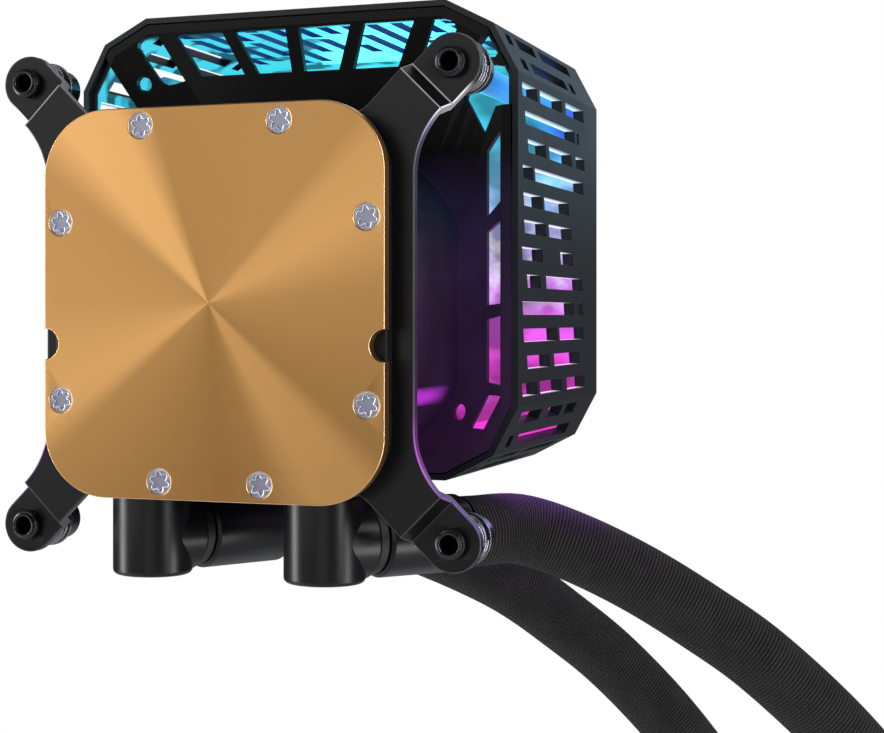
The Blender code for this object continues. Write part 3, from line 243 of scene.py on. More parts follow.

# The lights' colours by height, in millimetres, and the painted light, painted shadow and painted reflection
# that the dark pieces take on of them
PALE_ROWS_AT = 12.0 * MM
PALE_ROWS_REACH = 16.0 * MM
PALE_LIGHT = (0.9, 0.88, 1.0)
SLOT_SIDE_LIGHT = (0.9, 0.9, 1.0)
TOP_SLOT_BLUE_LIGHT = (0.005, 0.05, 0.3)
# A painted shadow of each upper ear on the glow behind it
EAR_SHADOW_BLUE = (0.03, 0.12, 0.75)
EAR_BLUE_REACH = 11.0 * MM
LIGHT_STOPS = [
    (-30.0, (0.75, 0.02, 0.5)),
    (-12.0, (0.72, 0.06, 0.62)),
    (2.0, (0.55, 0.12, 0.72)),
    (12.0, (0.5, 0.42, 0.85)),
    (24.0, (0.2, 0.52, 0.85)),
    (36.0, (0.04, 0.55, 0.75)),
    (52.0, (0.06, 0.68, 0.82)),
]
CASE_STOPS = [
    (-22.0, (0.012, 0.003, 0.02)),
    (-6.0, (0.016, 0.005, 0.022)),
    (5.0, (0.016, 0.007, 0.024)),
    (17.0, (0.003, 0.008, 0.018)),
    (24.0, (0.0, 0.0, 0.0)),
]
# A painted magenta reflection low on the pump's side
CASE_REFLECTION_Z = -15.5 * MM
CASE_REFLECTION_HALF = 1.7 * MM
CASE_REFLECTION_COLOUR = (0.95, 0.06, 1.3)
FLANGE_STOPS = [
    (-30.0, (0.019, 0.006, 0.024)),
    (5.0, (0.019, 0.01, 0.033)),
    (18.0, (0.012, 0.008, 0.026)),
    (27.0, (0.0, 0.0, 0.0)),
]
BRACKET_FOLD_STOPS = [
    (-20.0, (0.012, 0.012, 0.014)),
    (20.0, (0.28, 0.28, 0.29)),
]
BRACKET_EDGE_STOPS = [
    (-38.0, (0.02, 0.015, 0.04)),
    (-34.0, (0.12, 0.05, 0.25)),
    (-29.0, (0.3, 0.1, 0.5)),
    (-24.0, (0.5, 0.06, 0.6)),
    (-17.0, (0.1, 0.03, 0.14)),
    (-8.0, (0.02, 0.02, 0.025)),
    (20.0, (0.045, 0.045, 0.06)),
    (25.0, (0.1, 0.09, 0.16)),
    (28.0, (0.4, 0.34, 0.62)),
    (30.0, (0.9, 0.9, 0.95)),
    (33.0, (0.9, 0.9, 0.95)),
    (34.5, (0.03, 0.03, 0.035)),
]

# Lamps: name, place, what each faces, width, height, power in watts and colour
WHITE = (1.0, 1.0, 1.0)
CAGE_MIDDLE = (0, 0.03, 0)
LAMPS = [
    ("key", (-0.38, -0.78, 0.2), CAGE_MIDDLE, 0.7, 0.7, 3.0, WHITE),
    ("front_fill", (0.25, -0.9, -0.1), CAGE_MIDDLE, 0.5, 0.5, 0.8, WHITE),
    ("right_strip", (0.75, -0.1, 0.25), CAGE_MIDDLE, 0.25, 0.6, 2.4, WHITE),
    ("right_edge", (0.6, -0.25, 0.15), CAGE_MIDDLE, 0.03, 0.7, 2.0, WHITE),
    ("back_right", (0.2, 0.85, 0.25), CAGE_MIDDLE, 0.3, 0.35, 0.27, (0.5, 0.78, 1.0)),
    ("top_back", (0.1, 0.6, 0.7), CAGE_MIDDLE, 0.5, 0.5, 2.0, WHITE),
    ("low_right", (0.55, 0.0, -0.27), (0.0, 0.02, -0.045), 0.15, 0.3, 1.5, WHITE),
    ("left_strip", (-0.57, -0.185, 0.0), (0, 0, -0.02), 0.16, 0.6, 4.0, WHITE),
    ("cyan_inside", (0.0, 0.09, 0.035), (0, 0.04, 0.04), 0.03, 0.03, 0.03, (0.1, 0.8, 1.0)),
    ("magenta_inside", (0.0, 0.09, -0.012), (0, 0.04, -0.02), 0.03, 0.03, 0.03, (1.0, 0.15, 0.9)),
    ("magenta_below", (0.045, 0.046, -0.0312), (0.045, 0.046, -0.06), 0.02, 0.02, 0.003, (0.5, 0.1, 1.0)),
]
FLOOR_Z = -0.335
FLOOR_RADIUS = 1.0


def ring_points(radius, steps, centre=(0.0, 0.0)):
    turns = [2 * math.pi * i / steps for i in range(steps)]
    return [(centre[0] + radius * math.cos(a), centre[1] + radius * math.sin(a)) for a in turns]


def arc_points(centre, radius, start, end, steps):
    angles = [math.radians(start + (end - start) * i / steps) for i in range(steps + 1)]
    return [(centre[0] + radius * math.cos(a), centre[1] + radius * math.sin(a)) for a in angles]


def rounded_box(left, right, bottom, top, radius):
    corners = [
        (right - radius, top - radius, 0),
        (left + radius, top - radius, 90),
        (left + radius, bottom + radius, 180),
        (right - radius, bottom + radius, 270),
    ]
    return [p for u, w, turn in corners for p in arc_points((u, w), radius, turn, turn + 90, ARC_STEPS)]


def keep(piece, body, material, nodes, others=()):
    """Puts a piece in the scene on its body, in place of the nodes it stands for."""
    bpy.context.scene.collection.objects.link(piece)
    for each in (material, *others):
        piece.data.materials.append(each)
    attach(piece, body)
    if nodes:
        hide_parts(*nodes)
    return piece


def sharpen(bm, degrees):
    """Smooth shading, with edges steeper than this kept sharp."""
    for face in bm.faces:
        face.smooth = True
    for edge in bm.edges:
        if len(edge.link_faces) == 2:
            edge.smooth = edge.calc_face_angle() < math.radians(degrees)


def object_from(bm, name, degrees=EDGE_ANGLE):
    bmesh.ops.recalc_face_normals(bm, faces=bm.faces[:])
    sharpen(bm, degrees)
    mesh = bpy.data.meshes.new(name)
    bm.to_mesh(mesh)
    bm.free()
    return bpy.data.objects.new(name, mesh)


def mark_edges(piece, steepest=0.05):
    """Gives the faces that are neither flat nor upright, the rounded edges, the second material: a lighter
    copy of the metal, a painted highlight.
    """
    for face in piece.data.polygons:
        face.material_index = int(steepest < abs(face.normal.y) < FLATTEST)
    return piece


def flatten_shading(piece):
    """Large flat faces keep their own direction beside rounded edges."""
    weights = piece.modifiers.new("flat_faces", "WEIGHTED_NORMAL")
    weights.keep_sharp = True
    weights.weight = 100
    return piece


def rounded_solid(name, loops, front, back, edge, steps=2):
    """A flat outline with holes, thick along Y, with every edge rounded off."""
    curve = bpy.data.curves.new(name + "_outline", "CURVE")
    curve.dimensions = "2D"
    curve.fill_mode = "BOTH"
    curve.extrude = (back - front) / 2 - edge
    curve.bevel_depth = edge
    curve.bevel_resolution = steps
    curve.offset = -edge
    for loop in loops:
        spline = curve.splines.new("POLY")
        spline.points.add(len(loop) - 1)
        for point, (u, w) in zip(spline.points, loop):
            point.co = (u, w, 0, 1)
        spline.use_cyclic_u = True
    guide = bpy.data.objects.new(name + "_guide", curve)
    bpy.context.scene.collection.objects.link(guide)
    mesh = bpy.data.meshes.new_from_object(guide.evaluated_get(bpy.context.evaluated_depsgraph_get()))
    bpy.data.objects.remove(guide, do_unlink=True)
    bpy.data.curves.remove(curve)
    bm = bmesh.new()
    bm.from_mesh(mesh)
    bpy.data.meshes.remove(mesh)
    bmesh.ops.remove_doubles(bm, verts=bm.verts[:], dist=0.0005 * MM)
    place = Matrix.Translation((0, (front + back) / 2, 0)) @ Matrix.Rotation(math.pi / 2, 4, "X")
    bmesh.ops.transform(bm, matrix=place, verts=bm.verts[:])
    return flatten_shading(object_from(bm, name))


def turned(name, profile, at, toward, steps=ROUND_STEPS, edge=0.15 * MM):
    """A profile of (radius, distance along the axis) pairs turned about its axis, with rounded edges."""
    turn = UP.rotation_difference(Vector(toward).normalized()).to_matrix().to_4x4()
    place = Matrix.Translation(at) @ turn
    bm = bmesh.new()
    rings = []
    for radius, along in profile:
        if radius == 0:
            rings.append([bm.verts.new((0, 0, along))])
        else:
            rings.append([bm.verts.new((u, w, along)) for u, w in ring_points(radius, steps)])
    pairs = list(zip(rings, rings[1:]))
    if profile[0][0] > 0 and profile[-1][0] > 0:
        pairs.append((rings[-1], rings[0]))
    for near, far in pairs:
        for i in range(steps):
            j = (i + 1) % steps
            corners = [near[i % len(near)], near[j % len(near)], far[j % len(far)], far[i % len(far)]]
            unique = list(dict.fromkeys(corners))
            if len(unique) > 2:
                bm.faces.new(unique)
    bmesh.ops.transform(bm, matrix=place, verts=bm.verts[:])
    piece = object_from(bm, name)
    if edge:
        soften(piece, edge)
    return piece


def soften(piece, width, degrees=EDGE_ANGLE):
    bevel = piece.modifiers.new("edge", "BEVEL")
    bevel.width = width
    bevel.segments = 2
    bevel.limit_method = "ANGLE"
    bevel.angle_limit = math.radians(degrees)
    bevel.harden_normals = True


def heading_of(side):
    turn = math.radians(HEADINGS[side])
    return Vector((math.sin(turn), math.cos(turn), 0))


def elbow_middle(side):
    return Vector((PORT_X if side == "right" else -PORT_X, PORT_Y, BARREL_Z))


def smooth_points(anchors, spacing):
    """Evenly spaced points on a smooth curve through the anchors."""
    fine = []
    steps = 40
    padded = [2 * anchors[0] - anchors[1]] + anchors + [2 * anchors[-1] - anchors[-2]]
    for a, b, c, d in zip(padded, padded[1:], padded[2:], padded[3:]):
        for i in range(steps):
            t = i / steps
            bend = 2 * a - 5 * b + 4 * c - d
            fine.append((2 * b + (c - a) * t + bend * t**2 + (3 * b - a - 3 * c + d) * t**3) / 2)
    fine.append(anchors[-1])
    lengths = [0.0]
    for a, b in zip(fine, fine[1:]):
        lengths.append(lengths[-1] + (b - a).length)
    count = max(2, round(lengths[-1] / spacing))
    points, k = [], 0
    for i in range(count + 1):
        wanted = lengths[-1] * i / count
        while k < len(fine) - 2 and lengths[k + 1] < wanted:
            k += 1
        share = (wanted - lengths[k]) / (lengths[k + 1] - lengths[k])
        points.append(fine[k].lerp(fine[k + 1], min(1.0, share)))
    return points


# Materials
class Nodes:
    """A material's node tree, with short calls for the nodes used here."""

    def __init__(self, name):
        self.material = bpy.data.materials.new(name)
        self.material.use_nodes = True
        self.tree = self.material.node_tree
        self.shader = self.tree.nodes["Principled BSDF"]

    def add(self, kind, **values):
        node = self.tree.nodes.new(kind)
        for key, value in values.items():
            setattr(node, key, value)
        return node

    def link(self, source, target):
        self.tree.links.new(source, target)

    def math(self, operation, a, b=None, c=None):
        node = self.add("ShaderNodeMath", operation=operation)
        for socket, value in zip(node.inputs, (a, b, c)):
            if value is None:
                continue
            if isinstance(value, (int, float)):
                socket.default_value = value
            else:
                self.link(value, socket)
        return node.outputs[0]

    def position(self):
        """The point being shaded, in metres in the part's frame, as X, Y and Z."""
        split = self.add("ShaderNodeSeparateXYZ")
        coordinates = self.add("ShaderNodeTexCoord")
        self.link(coordinates.outputs["Object"], split.inputs[0])
        return split.outputs

    def noise(self, scale, detail=3.0, stretch=None):
        node = self.add("ShaderNodeTexNoise")
        node.inputs["Scale"].default_value = scale
        node.inputs["Detail"].default_value = detail
        vector = self.add("ShaderNodeTexCoord").outputs["Object"]
        if stretch:
            mapping = self.add("ShaderNodeMapping")
            mapping.inputs["Scale"].default_value = stretch
            self.link(vector, mapping.inputs["Vector"])
            vector = mapping.outputs[0]
        self.link(vector, node.inputs["Vector"])
        return node.outputs["Fac"]

    def ramp(self, factor, stops):
        node = self.add("ShaderNodeValToRGB")
        elements = node.color_ramp.elements
        while len(elements) < len(stops):
            elements.new(0.5)
        for element, (place, colour) in zip(elements, stops):
            element.position = place
            element.color = (*colour, 1.0)
        self.link(factor, node.inputs["Fac"])
        return node.outputs["Color"]

    def levels(self, factor, stops):
        """A ramp of plain levels, as pairs of place and level."""
        return self.ramp(factor, [(place, (level,) * 3) for place, level in stops])

    def distance(self, a, b):
        squares = self.math("ADD", self.math("MULTIPLY", a, a), self.math("MULTIPLY", b, b))
        return self.math("POWER", squares, 0.5)

    def mix(self, share, first, second):
        """A blend of two colours, each a node's output or plain numbers."""
        node = self.add("ShaderNodeMix", data_type="RGBA")
        self.link(share, node.inputs["Factor"])
        for socket, value in ((node.inputs[6], first), (node.inputs[7], second)):
            if isinstance(value, tuple):
                socket.default_value = (*value, 1.0)
            else:
                self.link(value, socket)
        return node.outputs[2]

    def normal(self):
        """The direction that the surface faces, in the part's frame, as X, Y and Z."""
        split = self.add("ShaderNodeSeparateXYZ")
        self.link(self.add("ShaderNodeTexCoord").outputs["Normal"], split.inputs[0])
        return split.outputs

    def bump(self, height, strength, depth):
        node = self.add("ShaderNodeBump")
        node.inputs["Strength"].default_value = strength
        node.inputs["Distance"].default_value = depth
        self.link(height, node.inputs["Height"])
        self.link(node.outputs[0], self.shader.inputs["Normal"])

    def grain(self, strength, scale=FINE_GRAIN, detail=3.0):
        """A fine moulded or painted grain."""
        self.bump(self.noise(scale, detail), strength, GRAIN_DEPTH)

    def uneven_sheen(self, roughness, spread, scale, detail=3.0):
        """Roughness that changes a little from patch to patch."""
        patches = self.noise(scale, detail)
        self.put("Roughness", self.math("MULTIPLY_ADD", patches, spread, roughness - spread / 2))

    def put(self, socket, value):
        if isinstance(value, (int, float)):
            self.shader.inputs[socket].default_value = value
        elif isinstance(value, tuple):
            self.shader.inputs[socket].default_value = (*value, 1.0)
        else:
            self.link(value, self.shader.inputs[socket])


def moulded(name, colour, roughness, metallic=0.0, grain=0.3, scale=FINE_GRAIN, specular=0.5):
    """A plain colour with a fine moulded or painted grain and slight changes in its sheen."""
    nodes = Nodes(name)
    nodes.put("Base Color", colour)
    nodes.put("Metallic", metallic)
    nodes.put("Specular IOR Level", specular)
    nodes.uneven_sheen(roughness, 0.14, 60.0, 4.0)
    nodes.grain(grain, scale, 2.0)
    return nodes


def gunmetal(name, specular):
    """The dark paint of the cage and its front panel."""
    nodes = Nodes(name)
    nodes.put("Base Color", GUNMETAL)
    nodes.put("Specular IOR Level", specular)
    nodes.uneven_sheen(0.4, 0.12, 80.0)
    nodes.grain(0.15)
    return nodes


def by_height(nodes, z, stops):
    """Colours set by height, the heights in millimetres."""
    low = stops[0][0] * MM
    high = stops[-1][0] * MM
    share = nodes.math("DIVIDE", nodes.math("SUBTRACT", z, low), high - low)
    return nodes.ramp(share, [((height * MM - low) / (high - low), colour) for height, colour in stops])


def glowing(name, colour, roughness, specular, stops, start, end, with_reflection=False):
    """Black moulding that takes on the lights' colours, by height and from one place along Y to another."""
    nodes = moulded(name, colour, roughness, grain=0.15, specular=specular)
    _, y, z = nodes.position()
    reach = nodes.math("DIVIDE", nodes.math("SUBTRACT", y, start), end - start)
    strength = nodes.levels(reach, [(0.0, 0.0), (0.3, 1.0)])
    patches = nodes.levels(nodes.noise(70.0, 2.0), [(0.25, 0.6), (0.7, 1.2)])
    light = by_height(nodes, z, stops)
    # The painted magenta reflection over the painted light
    if with_reflection:
        light = nodes.mix(reflection_share(nodes, z, reach), light, CASE_REFLECTION_COLOUR)
    nodes.put("Emission Color", light)
    nodes.put("Emission Strength", nodes.math("MULTIPLY", strength, patches))
    return nodes.material


def reflection_share(nodes, z, reach):
    """The share of the painted magenta reflection, a bright line low on the pump's side, fading along its
    reach.
    """
    offset = nodes.math("DIVIDE", nodes.math("SUBTRACT", z, CASE_REFLECTION_Z), CASE_REFLECTION_HALF)
    closeness = nodes.math("SUBTRACT", 1.0, nodes.math("MULTIPLY", offset, offset))
    fade = nodes.math("SUBTRACT", 1.0, reach)
    return nodes.math("MULTIPLY", nodes.math("MAXIMUM", closeness, 0.0), nodes.math("MAXIMUM", fade, 0.0))


def copper_face():
    """Copper with a painted bow-tie highlight in its colour, standing in for the sheen of a face turned on a
    lathe.
    """
    nodes = Nodes("copper_face")
    x, _, z = nodes.position()
    share = nodes.math("MULTIPLY_ADD", nodes.math("ARCTAN2", z, x), 1 / (2 * math.pi), 0.5)
    rings = nodes.add("ShaderNodeTexNoise")
    rings.noise_dimensions = "1D"
    rings.inputs["Scale"].default_value = 4200.0
    rings.inputs["Detail"].default_value = 2.0
    nodes.link(nodes.distance(x, z), rings.inputs["W"])
    lines = rings.outputs["Fac"]
    wobble = nodes.math("MULTIPLY_ADD", nodes.math("SUBTRACT", lines, 0.5), 0.005, share)
    jitter = nodes.math("SUBTRACT", nodes.noise(900.0, 2.0), 0.5)
    wobble = nodes.math("MULTIPLY_ADD", jitter, 0.004, wobble)
    stops = []
    for degrees, level in COPPER_PAINTED_HIGHLIGHTS:
        colour = tuple(dark + (bright - dark) * level for dark, bright in zip(COPPER_IN_SHADE, COPPER_IN_HIGHLIGHT))
        stops.append((degrees / 360, colour))
    shade = nodes.add("ShaderNodeHueSaturation")
    nodes.link(nodes.ramp(wobble, stops), shade.inputs["Color"])
    nodes.link(nodes.math("MULTIPLY_ADD", lines, 0.08, 0.95), shade.inputs["Value"])
    nodes.put("Base Color", shade.outputs[0])
    nodes.put("Metallic", 1.0)
    nodes.put("Roughness", 0.42)
    nodes.bump(lines, 0.05, 0.01 * MM)
    return nodes.material


def screw_steel():
    nodes = Nodes("screw_steel")
    nodes.put("Base Color", (0.2, 0.2, 0.26))
    nodes.put("Metallic", 1.0)
    nodes.uneven_sheen(0.42, 0.16, 800.0)
    nodes.bump(nodes.noise(FINE_GRAIN), 0.06, 0.01 * MM)
    return nodes.material


def streaked_light(nodes, z):
    """The lights' colours by height, with paler streaks in the middle rows."""
    middle = nodes.math("ABSOLUTE", nodes.math("SUBTRACT", z, PALE_ROWS_AT))
    closeness = nodes.math("SUBTRACT", 1.0, nodes.math("DIVIDE", middle, PALE_ROWS_REACH))
    streaks = nodes.noise(1.0, 2.0, stretch=(160.0, 60.0, 240.0))
    pale = nodes.levels(streaks, [(0.47, 0.0), (0.6, 1.0)])
    share = nodes.math("MULTIPLY", nodes.math("MAXIMUM", closeness, 0.0), pale)
    return nodes.mix(share, by_height(nodes, z, LIGHT_STOPS), PALE_LIGHT)


def ear_shadow_share(nodes, x, z):
    """The share of a painted blue shadow behind each upper ear, fading away from its screw."""
    beside = nodes.math("SUBTRACT", nodes.math("ABSOLUTE", x), EAR_OFFSET)
    above = nodes.math("SUBTRACT", z, EAR_OFFSET)
    apart = nodes.math("DIVIDE", nodes.distance(beside, above), EAR_BLUE_REACH)
    return nodes.levels(apart, [(0.35, 1.0), (1.0, 0.0)])


def cage_paint():
    """Gunmetal paint outside; inside, the walls and the slots' sides glow with the colours of the lights."""
    nodes = gunmetal("cage_paint", 0.14)
    x, y, z = nodes.position()
    across, _, up = nodes.normal()
    rise = nodes.math("SUBTRACT", z, CAGE_RISE)
    facing = nodes.math("ADD", nodes.math("MULTIPLY", x, across), nodes.math("MULTIPLY", rise, up))
    inward = nodes.math("MULTIPLY", facing, -1.0)
    near = 0.4 * MM
    inner_half = CAGE_HALF - CAGE_WALL
    on_wall = nodes.math("COMPARE", inward, inner_half, near)
    on_corner = nodes.math("COMPARE", inward, CAGE_CHAMFER_DISTANCE - CAGE_WALL, near)
    behind_seat = nodes.math("GREATER_THAN", y, CAGE_SEAT_BACK + near)
    patches = nodes.levels(nodes.noise(150.0, 1.0), [(0.4, 0.12), (0.5, 1.0)])
    lit = nodes.math("MULTIPLY", nodes.math("MAXIMUM", on_wall, on_corner), behind_seat)
    lit = nodes.math("MULTIPLY", lit, patches)

    # Painted light on the slots' upper and lower sides in the side walls, brightest at their inner ends
    depth = nodes.math("DIVIDE", nodes.math("SUBTRACT", nodes.math("ABSOLUTE", x), inner_half), CAGE_WALL)
    in_side = nodes.math("GREATER_THAN", depth, 0.05)
    level = nodes.math("GREATER_THAN", nodes.math("ABSOLUTE", up), 0.9)
    within = nodes.math("LESS_THAN", nodes.math("ABSOLUTE", rise), inner_half - near)
    on_slot = nodes.math("MULTIPLY", nodes.math("MULTIPLY", in_side, level), within)
    slot_level = nodes.math("MULTIPLY", on_slot, nodes.math("MULTIPLY_ADD", depth, -1.6, 1.75))

    # Painted blue light on the slots' sides in the top wall
    in_top = nodes.math("GREATER_THAN", rise, inner_half + 0.05 * MM)
    upright = nodes.math("LESS_THAN", nodes.math("ABSOLUTE", up), 0.5)
    on_top_slot = nodes.math("MULTIPLY", nodes.math("MULTIPLY", in_top, upright), behind_seat)

    colour = streaked_light(nodes, z)
    colour = nodes.mix(nodes.math("MULTIPLY", on_slot, 0.6), colour, SLOT_SIDE_LIGHT)
    colour = nodes.mix(on_top_slot, colour, TOP_SLOT_BLUE_LIGHT)
    top_level = nodes.math("MULTIPLY", on_top_slot, 0.5)
    strength = nodes.math("ADD", nodes.math("ADD", lit, slot_level), top_level)
    nodes.put("Emission Color", colour)
    nodes.put("Emission Strength", strength)
    return nodes.material


def bracket_fold_highlight():
    """Painted highlights along the bracket's folds, brighter above, where the light from the cage reaches
    them.
    """
    nodes = Nodes("bracket_fold_highlight")
    _, _, z = nodes.position()
    nodes.put("Base Color", (0.02, 0.02, 0.022))
    nodes.uneven_sheen(0.3, 0.1, 60.0)
    nodes.put("Emission Color", by_height(nodes, z, BRACKET_FOLD_STOPS))
    nodes.put("Emission Strength", nodes.math("MULTIPLY_ADD", nodes.noise(400.0), 0.8, 0.6))
    return nodes.material


def bracket_edge():
    """The bracket's outer edges, which catch the cage's light from behind."""
    nodes = Nodes("bracket_edge")
    x, _, z = nodes.position()
    across, out, _ = nodes.normal()
    outward = nodes.math("GREATER_THAN", nodes.math("MULTIPLY", x, across), 0.0)
    wide = nodes.math("GREATER_THAN", nodes.math("ABSOLUTE", x), CORE_HALF + 2.0 * MM)
    on_rounding = nodes.math("GREATER_THAN", nodes.math("ABSOLUTE", out), 0.1)
    level = nodes.math("MULTIPLY_ADD", on_rounding, 0.7, 0.3)
    nodes.put("Base Color", (0.01, 0.01, 0.012))
    nodes.uneven_sheen(0.3, 0.1, 60.0)
    nodes.grain(0.1)
    nodes.put("Emission Color", by_height(nodes, z, BRACKET_EDGE_STOPS))
    nodes.put("Emission Strength", nodes.math("MULTIPLY", nodes.math("MULTIPLY", outward, wide), level))
    return nodes.material


def cover_paint():
    """The front panel: gunmetal outside, and lit on its inner side, with a painted blue shadow behind each
    upper ear.
    """
    nodes = gunmetal("cover_paint", 0.3)
    x, y, z = nodes.position()
    inside = nodes.math("LESS_THAN", y, COVER_INSIDE + 0.2 * MM)
    streaks = nodes.noise(1.0, 2.0, stretch=(60.0, 10.0, 90.0))
    level = nodes.levels(streaks, [(0.4, 0.45), (0.56, 1.4)])
    nodes.put("Emission Color", nodes.mix(ear_shadow_share(nodes, x, z), streaked_light(nodes, z), EAR_SHADOW_BLUE))
    nodes.put("Emission Strength", nodes.math("MULTIPLY", inside, level))
    return nodes.material


def guide_glow():
    nodes = Nodes("guide_glow")
    _, _, z = nodes.position()
    nodes.put("Base Color", (0.8, 0.85, 0.9))
    nodes.put("Roughness", 0.4)
    nodes.put("Emission Color", by_height(nodes, z, LIGHT_STOPS))
    nodes.put("Emission Strength", 1.2)
    return nodes.material


def woven_sleeve():
    """A fine woven sleeve: short ribs in rows across the hose, each row half a rib on from the last."""
    nodes = Nodes("woven_sleeve")
    places = nodes.add("ShaderNodeUVMap", uv_map="Weave")
    split = nodes.add("ShaderNodeSeparateXYZ")
    nodes.link(places.outputs[0], split.inputs[0])
    around, along = split.outputs[0], split.outputs[1]
    rows = nodes.math("DIVIDE", along, WEAVE_ROW)
    row = nodes.math("FLOOR", rows)
    in_row = nodes.math("SUBTRACT", rows, row)
    step = nodes.math("MULTIPLY", row, 0.5)
    ribs = nodes.math("ADD", nodes.math("MULTIPLY", around, WEAVE_RIBS), step)
    lean = nodes.math("ADD", ribs, nodes.math("MULTIPLY", in_row, 0.8))
    in_rib = nodes.math("SUBTRACT", lean, nodes.math("FLOOR", lean))
    crown = nodes.math("SINE", nodes.math("MULTIPLY", in_rib, math.pi))
    arch = nodes.math("SINE", nodes.math("MULTIPLY", in_row, math.pi))
    tick = nodes.math("MULTIPLY_ADD", nodes.math("POWER", crown, 0.6), 0.3, 0.7)
    height = nodes.math("MULTIPLY", tick, arch)
    patches = nodes.math("MULTIPLY_ADD", nodes.noise(160.0, 2.0), 1.0, 0.4)
    tops = nodes.math("MULTIPLY", height, patches)
    shade = nodes.ramp(tops, [(0.3, (0.0003, 0.0003, 0.0003)), (0.9, (0.021, 0.0188, 0.0188))])
    nodes.put("Base Color", shade)
    nodes.put("Roughness", 0.75)
    nodes.put("Specular IOR Level", 0.22)
    nodes.put("Sheen Weight", 0.03)
    nodes.bump(height, 1.0, 0.25 * MM)
    return nodes.material


COPPER = copper_face()
STEEL = screw_steel()
# Painted highlights: lighter copies of the steel and the copper, for rounded edges
STEEL_HIGHLIGHT = moulded("steel_highlight", (0.93, 0.93, 0.98), 0.3, metallic=1.0, grain=0.05).material
PLATE_EDGE_HIGHLIGHT = moulded("plate_edge_highlight", (0.72, 0.48, 0.27), 0.32, metallic=1.0, grain=0.05).material
BRACKET_PAINT = moulded("bracket_paint", (0.0055, 0.0055, 0.006), 0.32, grain=0.12, specular=0.16).material
BRACKET_EDGE = bracket_edge()
BRACKET_FOLD_HIGHLIGHT = bracket_fold_highlight()
CASE_PLASTIC = glowing(
    "case_plastic", (0.0035, 0.0035, 0.0045), 0.32, 0.25, CASE_STOPS, 14.0 * MM, 40.0 * MM, with_reflection=True
)
RIM_PLASTIC = moulded(
    "rim_plastic", (0.004, 0.004, 0.0045), 0.45, grain=0.2, scale=4000.0, specular=0.2
).material
FITTING_PAINT = moulded("fitting_paint", (0.004, 0.004, 0.005), 0.3, grain=0.1, specular=0.25).material
SCREW_BLACK = moulded("screw_black", (0.012, 0.012, 0.015), 0.2, metallic=0.4, grain=0.1).material
SPRING_STEEL = moulded("spring_steel", (0.2, 0.2, 0.23), 0.22, metallic=0.9, grain=0.08).material
RUBBER = moulded("dark_rubber", (0.006, 0.006, 0.006), 0.6, grain=0.4, scale=3000.0).material
SLEEVE = woven_sleeve()
CAGE_PAINT = cage_paint()
COVER_PAINT = cover_paint()
FLANGE_PAINT = glowing(
    "flange_paint", (0.0045, 0.0045, 0.005), 0.42, 0.08, FLANGE_STOPS, 32.0 * MM, 36.0 * MM
)
BOARD = moulded("board_green", (0.01, 0.05, 0.025), 0.4, grain=0.2, scale=3000.0).material
WINDING = moulded("winding_copper", (0.55, 0.2, 0.08), 0.35, metallic=0.9, grain=0.6, scale=2500.0).material
CORE_STEEL = moulded("core_steel", (0.2, 0.2, 0.21), 0.4, metallic=0.9, grain=0.4, scale=3000.0).material
MAGNET = moulded("magnet_grey", (0.04, 0.04, 0.045), 0.5, metallic=0.3, grain=0.3, scale=3000.0).material
CERAMIC = moulded("ceramic_white", (0.75, 0.74, 0.7), 0.25, grain=0.05, scale=3000.0).material


# Camera
def make_camera():
    data = bpy.data.cameras.new("camera")
    camera = bpy.data.objects.new("camera", data)
    bpy.context.scene.collection.objects.link(camera)
    data.sensor_width = SENSOR
    data.lens = FOCAL_PIXELS / IMAGE_WIDTH * SENSOR
    data.shift_x = (IMAGE_WIDTH / 2 - MIDDLE_X) / IMAGE_WIDTH
    data.shift_y = (MIDDLE_Y - IMAGE_HEIGHT / 2) / IMAGE_WIDTH
    data.clip_start = 0.01
    data.clip_end = 20.0
    camera.location = CAMERA_AT
    camera.rotation_euler = (math.pi / 2, 0, math.radians(CAMERA_TURN))
    bpy.context.scene.camera = camera


# Hoses
def make_hose(side):
    """The braided hose as one tube."""
    middle = elbow_middle(side)
    toward = heading_of(side)
    start = middle + toward * (FERRULE_END + FIT)
    route = [middle + Vector(point) * MM for point in HOSE_ROUTES[side]]
    anchors = [start, start + toward * HOSE_LEAD] + route[:-1] + [route[-1] + UP * HOSE_LEAD, route[-1]]
    points = smooth_points(anchors, HOSE_RING_SPACING)
    bm = bmesh.new()
    weave = bm.loops.layers.uv.new("Weave")
    across = UP.cross(toward).normalized()
    section = ring_points(HOSE_RADIUS, HOSE_SIDES)
    rings, lengths = [], [0.0]
    for i, point in enumerate(points):
        ahead = points[min(i + 1, len(points) - 1)] - points[max(i - 1, 0)]
        ahead.normalize()
        across = (across - ahead * across.dot(ahead)).normalized()
        other = ahead.cross(across)
        rings.append([bm.verts.new(point + (across * u + other * w)) for u, w in section])
        if i:
            lengths.append(lengths[-1] + (point - points[i - 1]).length)
    for i in range(len(rings) - 1):
        for j in range(HOSE_SIDES):
            k = (j + 1) % HOSE_SIDES
            face = bm.faces.new((rings[i][j], rings[i][k], rings[i + 1][k], rings[i + 1][j]))
            places = [(j, i), (j + 1, i), (j + 1, i + 1), (j, i + 1)]
            for loop, (around, along) in zip(face.loops, places):
                loop[weave].uv = (around / HOSE_SIDES, lengths[along])
    bm.faces.new(rings[0])
    bm.faces.new(rings[-1])
    sleeve = object_from(bm, f"sleeve_{side}", 50)
    hose = keep(sleeve, f"{side}_hose", SLEEVE, (f"hose_{side}",))


# The pump and its mount
def plate_outline():
    half_width, half_height = PLATE_HALF_WIDTH, PLATE_HALF_HEIGHT
    loop = rounded_box(-half_width, half_width, -half_height, half_height, PLATE_CORNER)
    per_corner = ARC_STEPS + 1
    left = arc_points((-half_width, NOTCH_Z), NOTCH_RADIUS, 90, -90, 2 * ARC_STEPS)
    right = arc_points((half_width, NOTCH_Z), NOTCH_RADIUS, 270, 90, 2 * ARC_STEPS)
    return loop[: 2 * per_corner] + left + loop[2 * per_corner :] + right


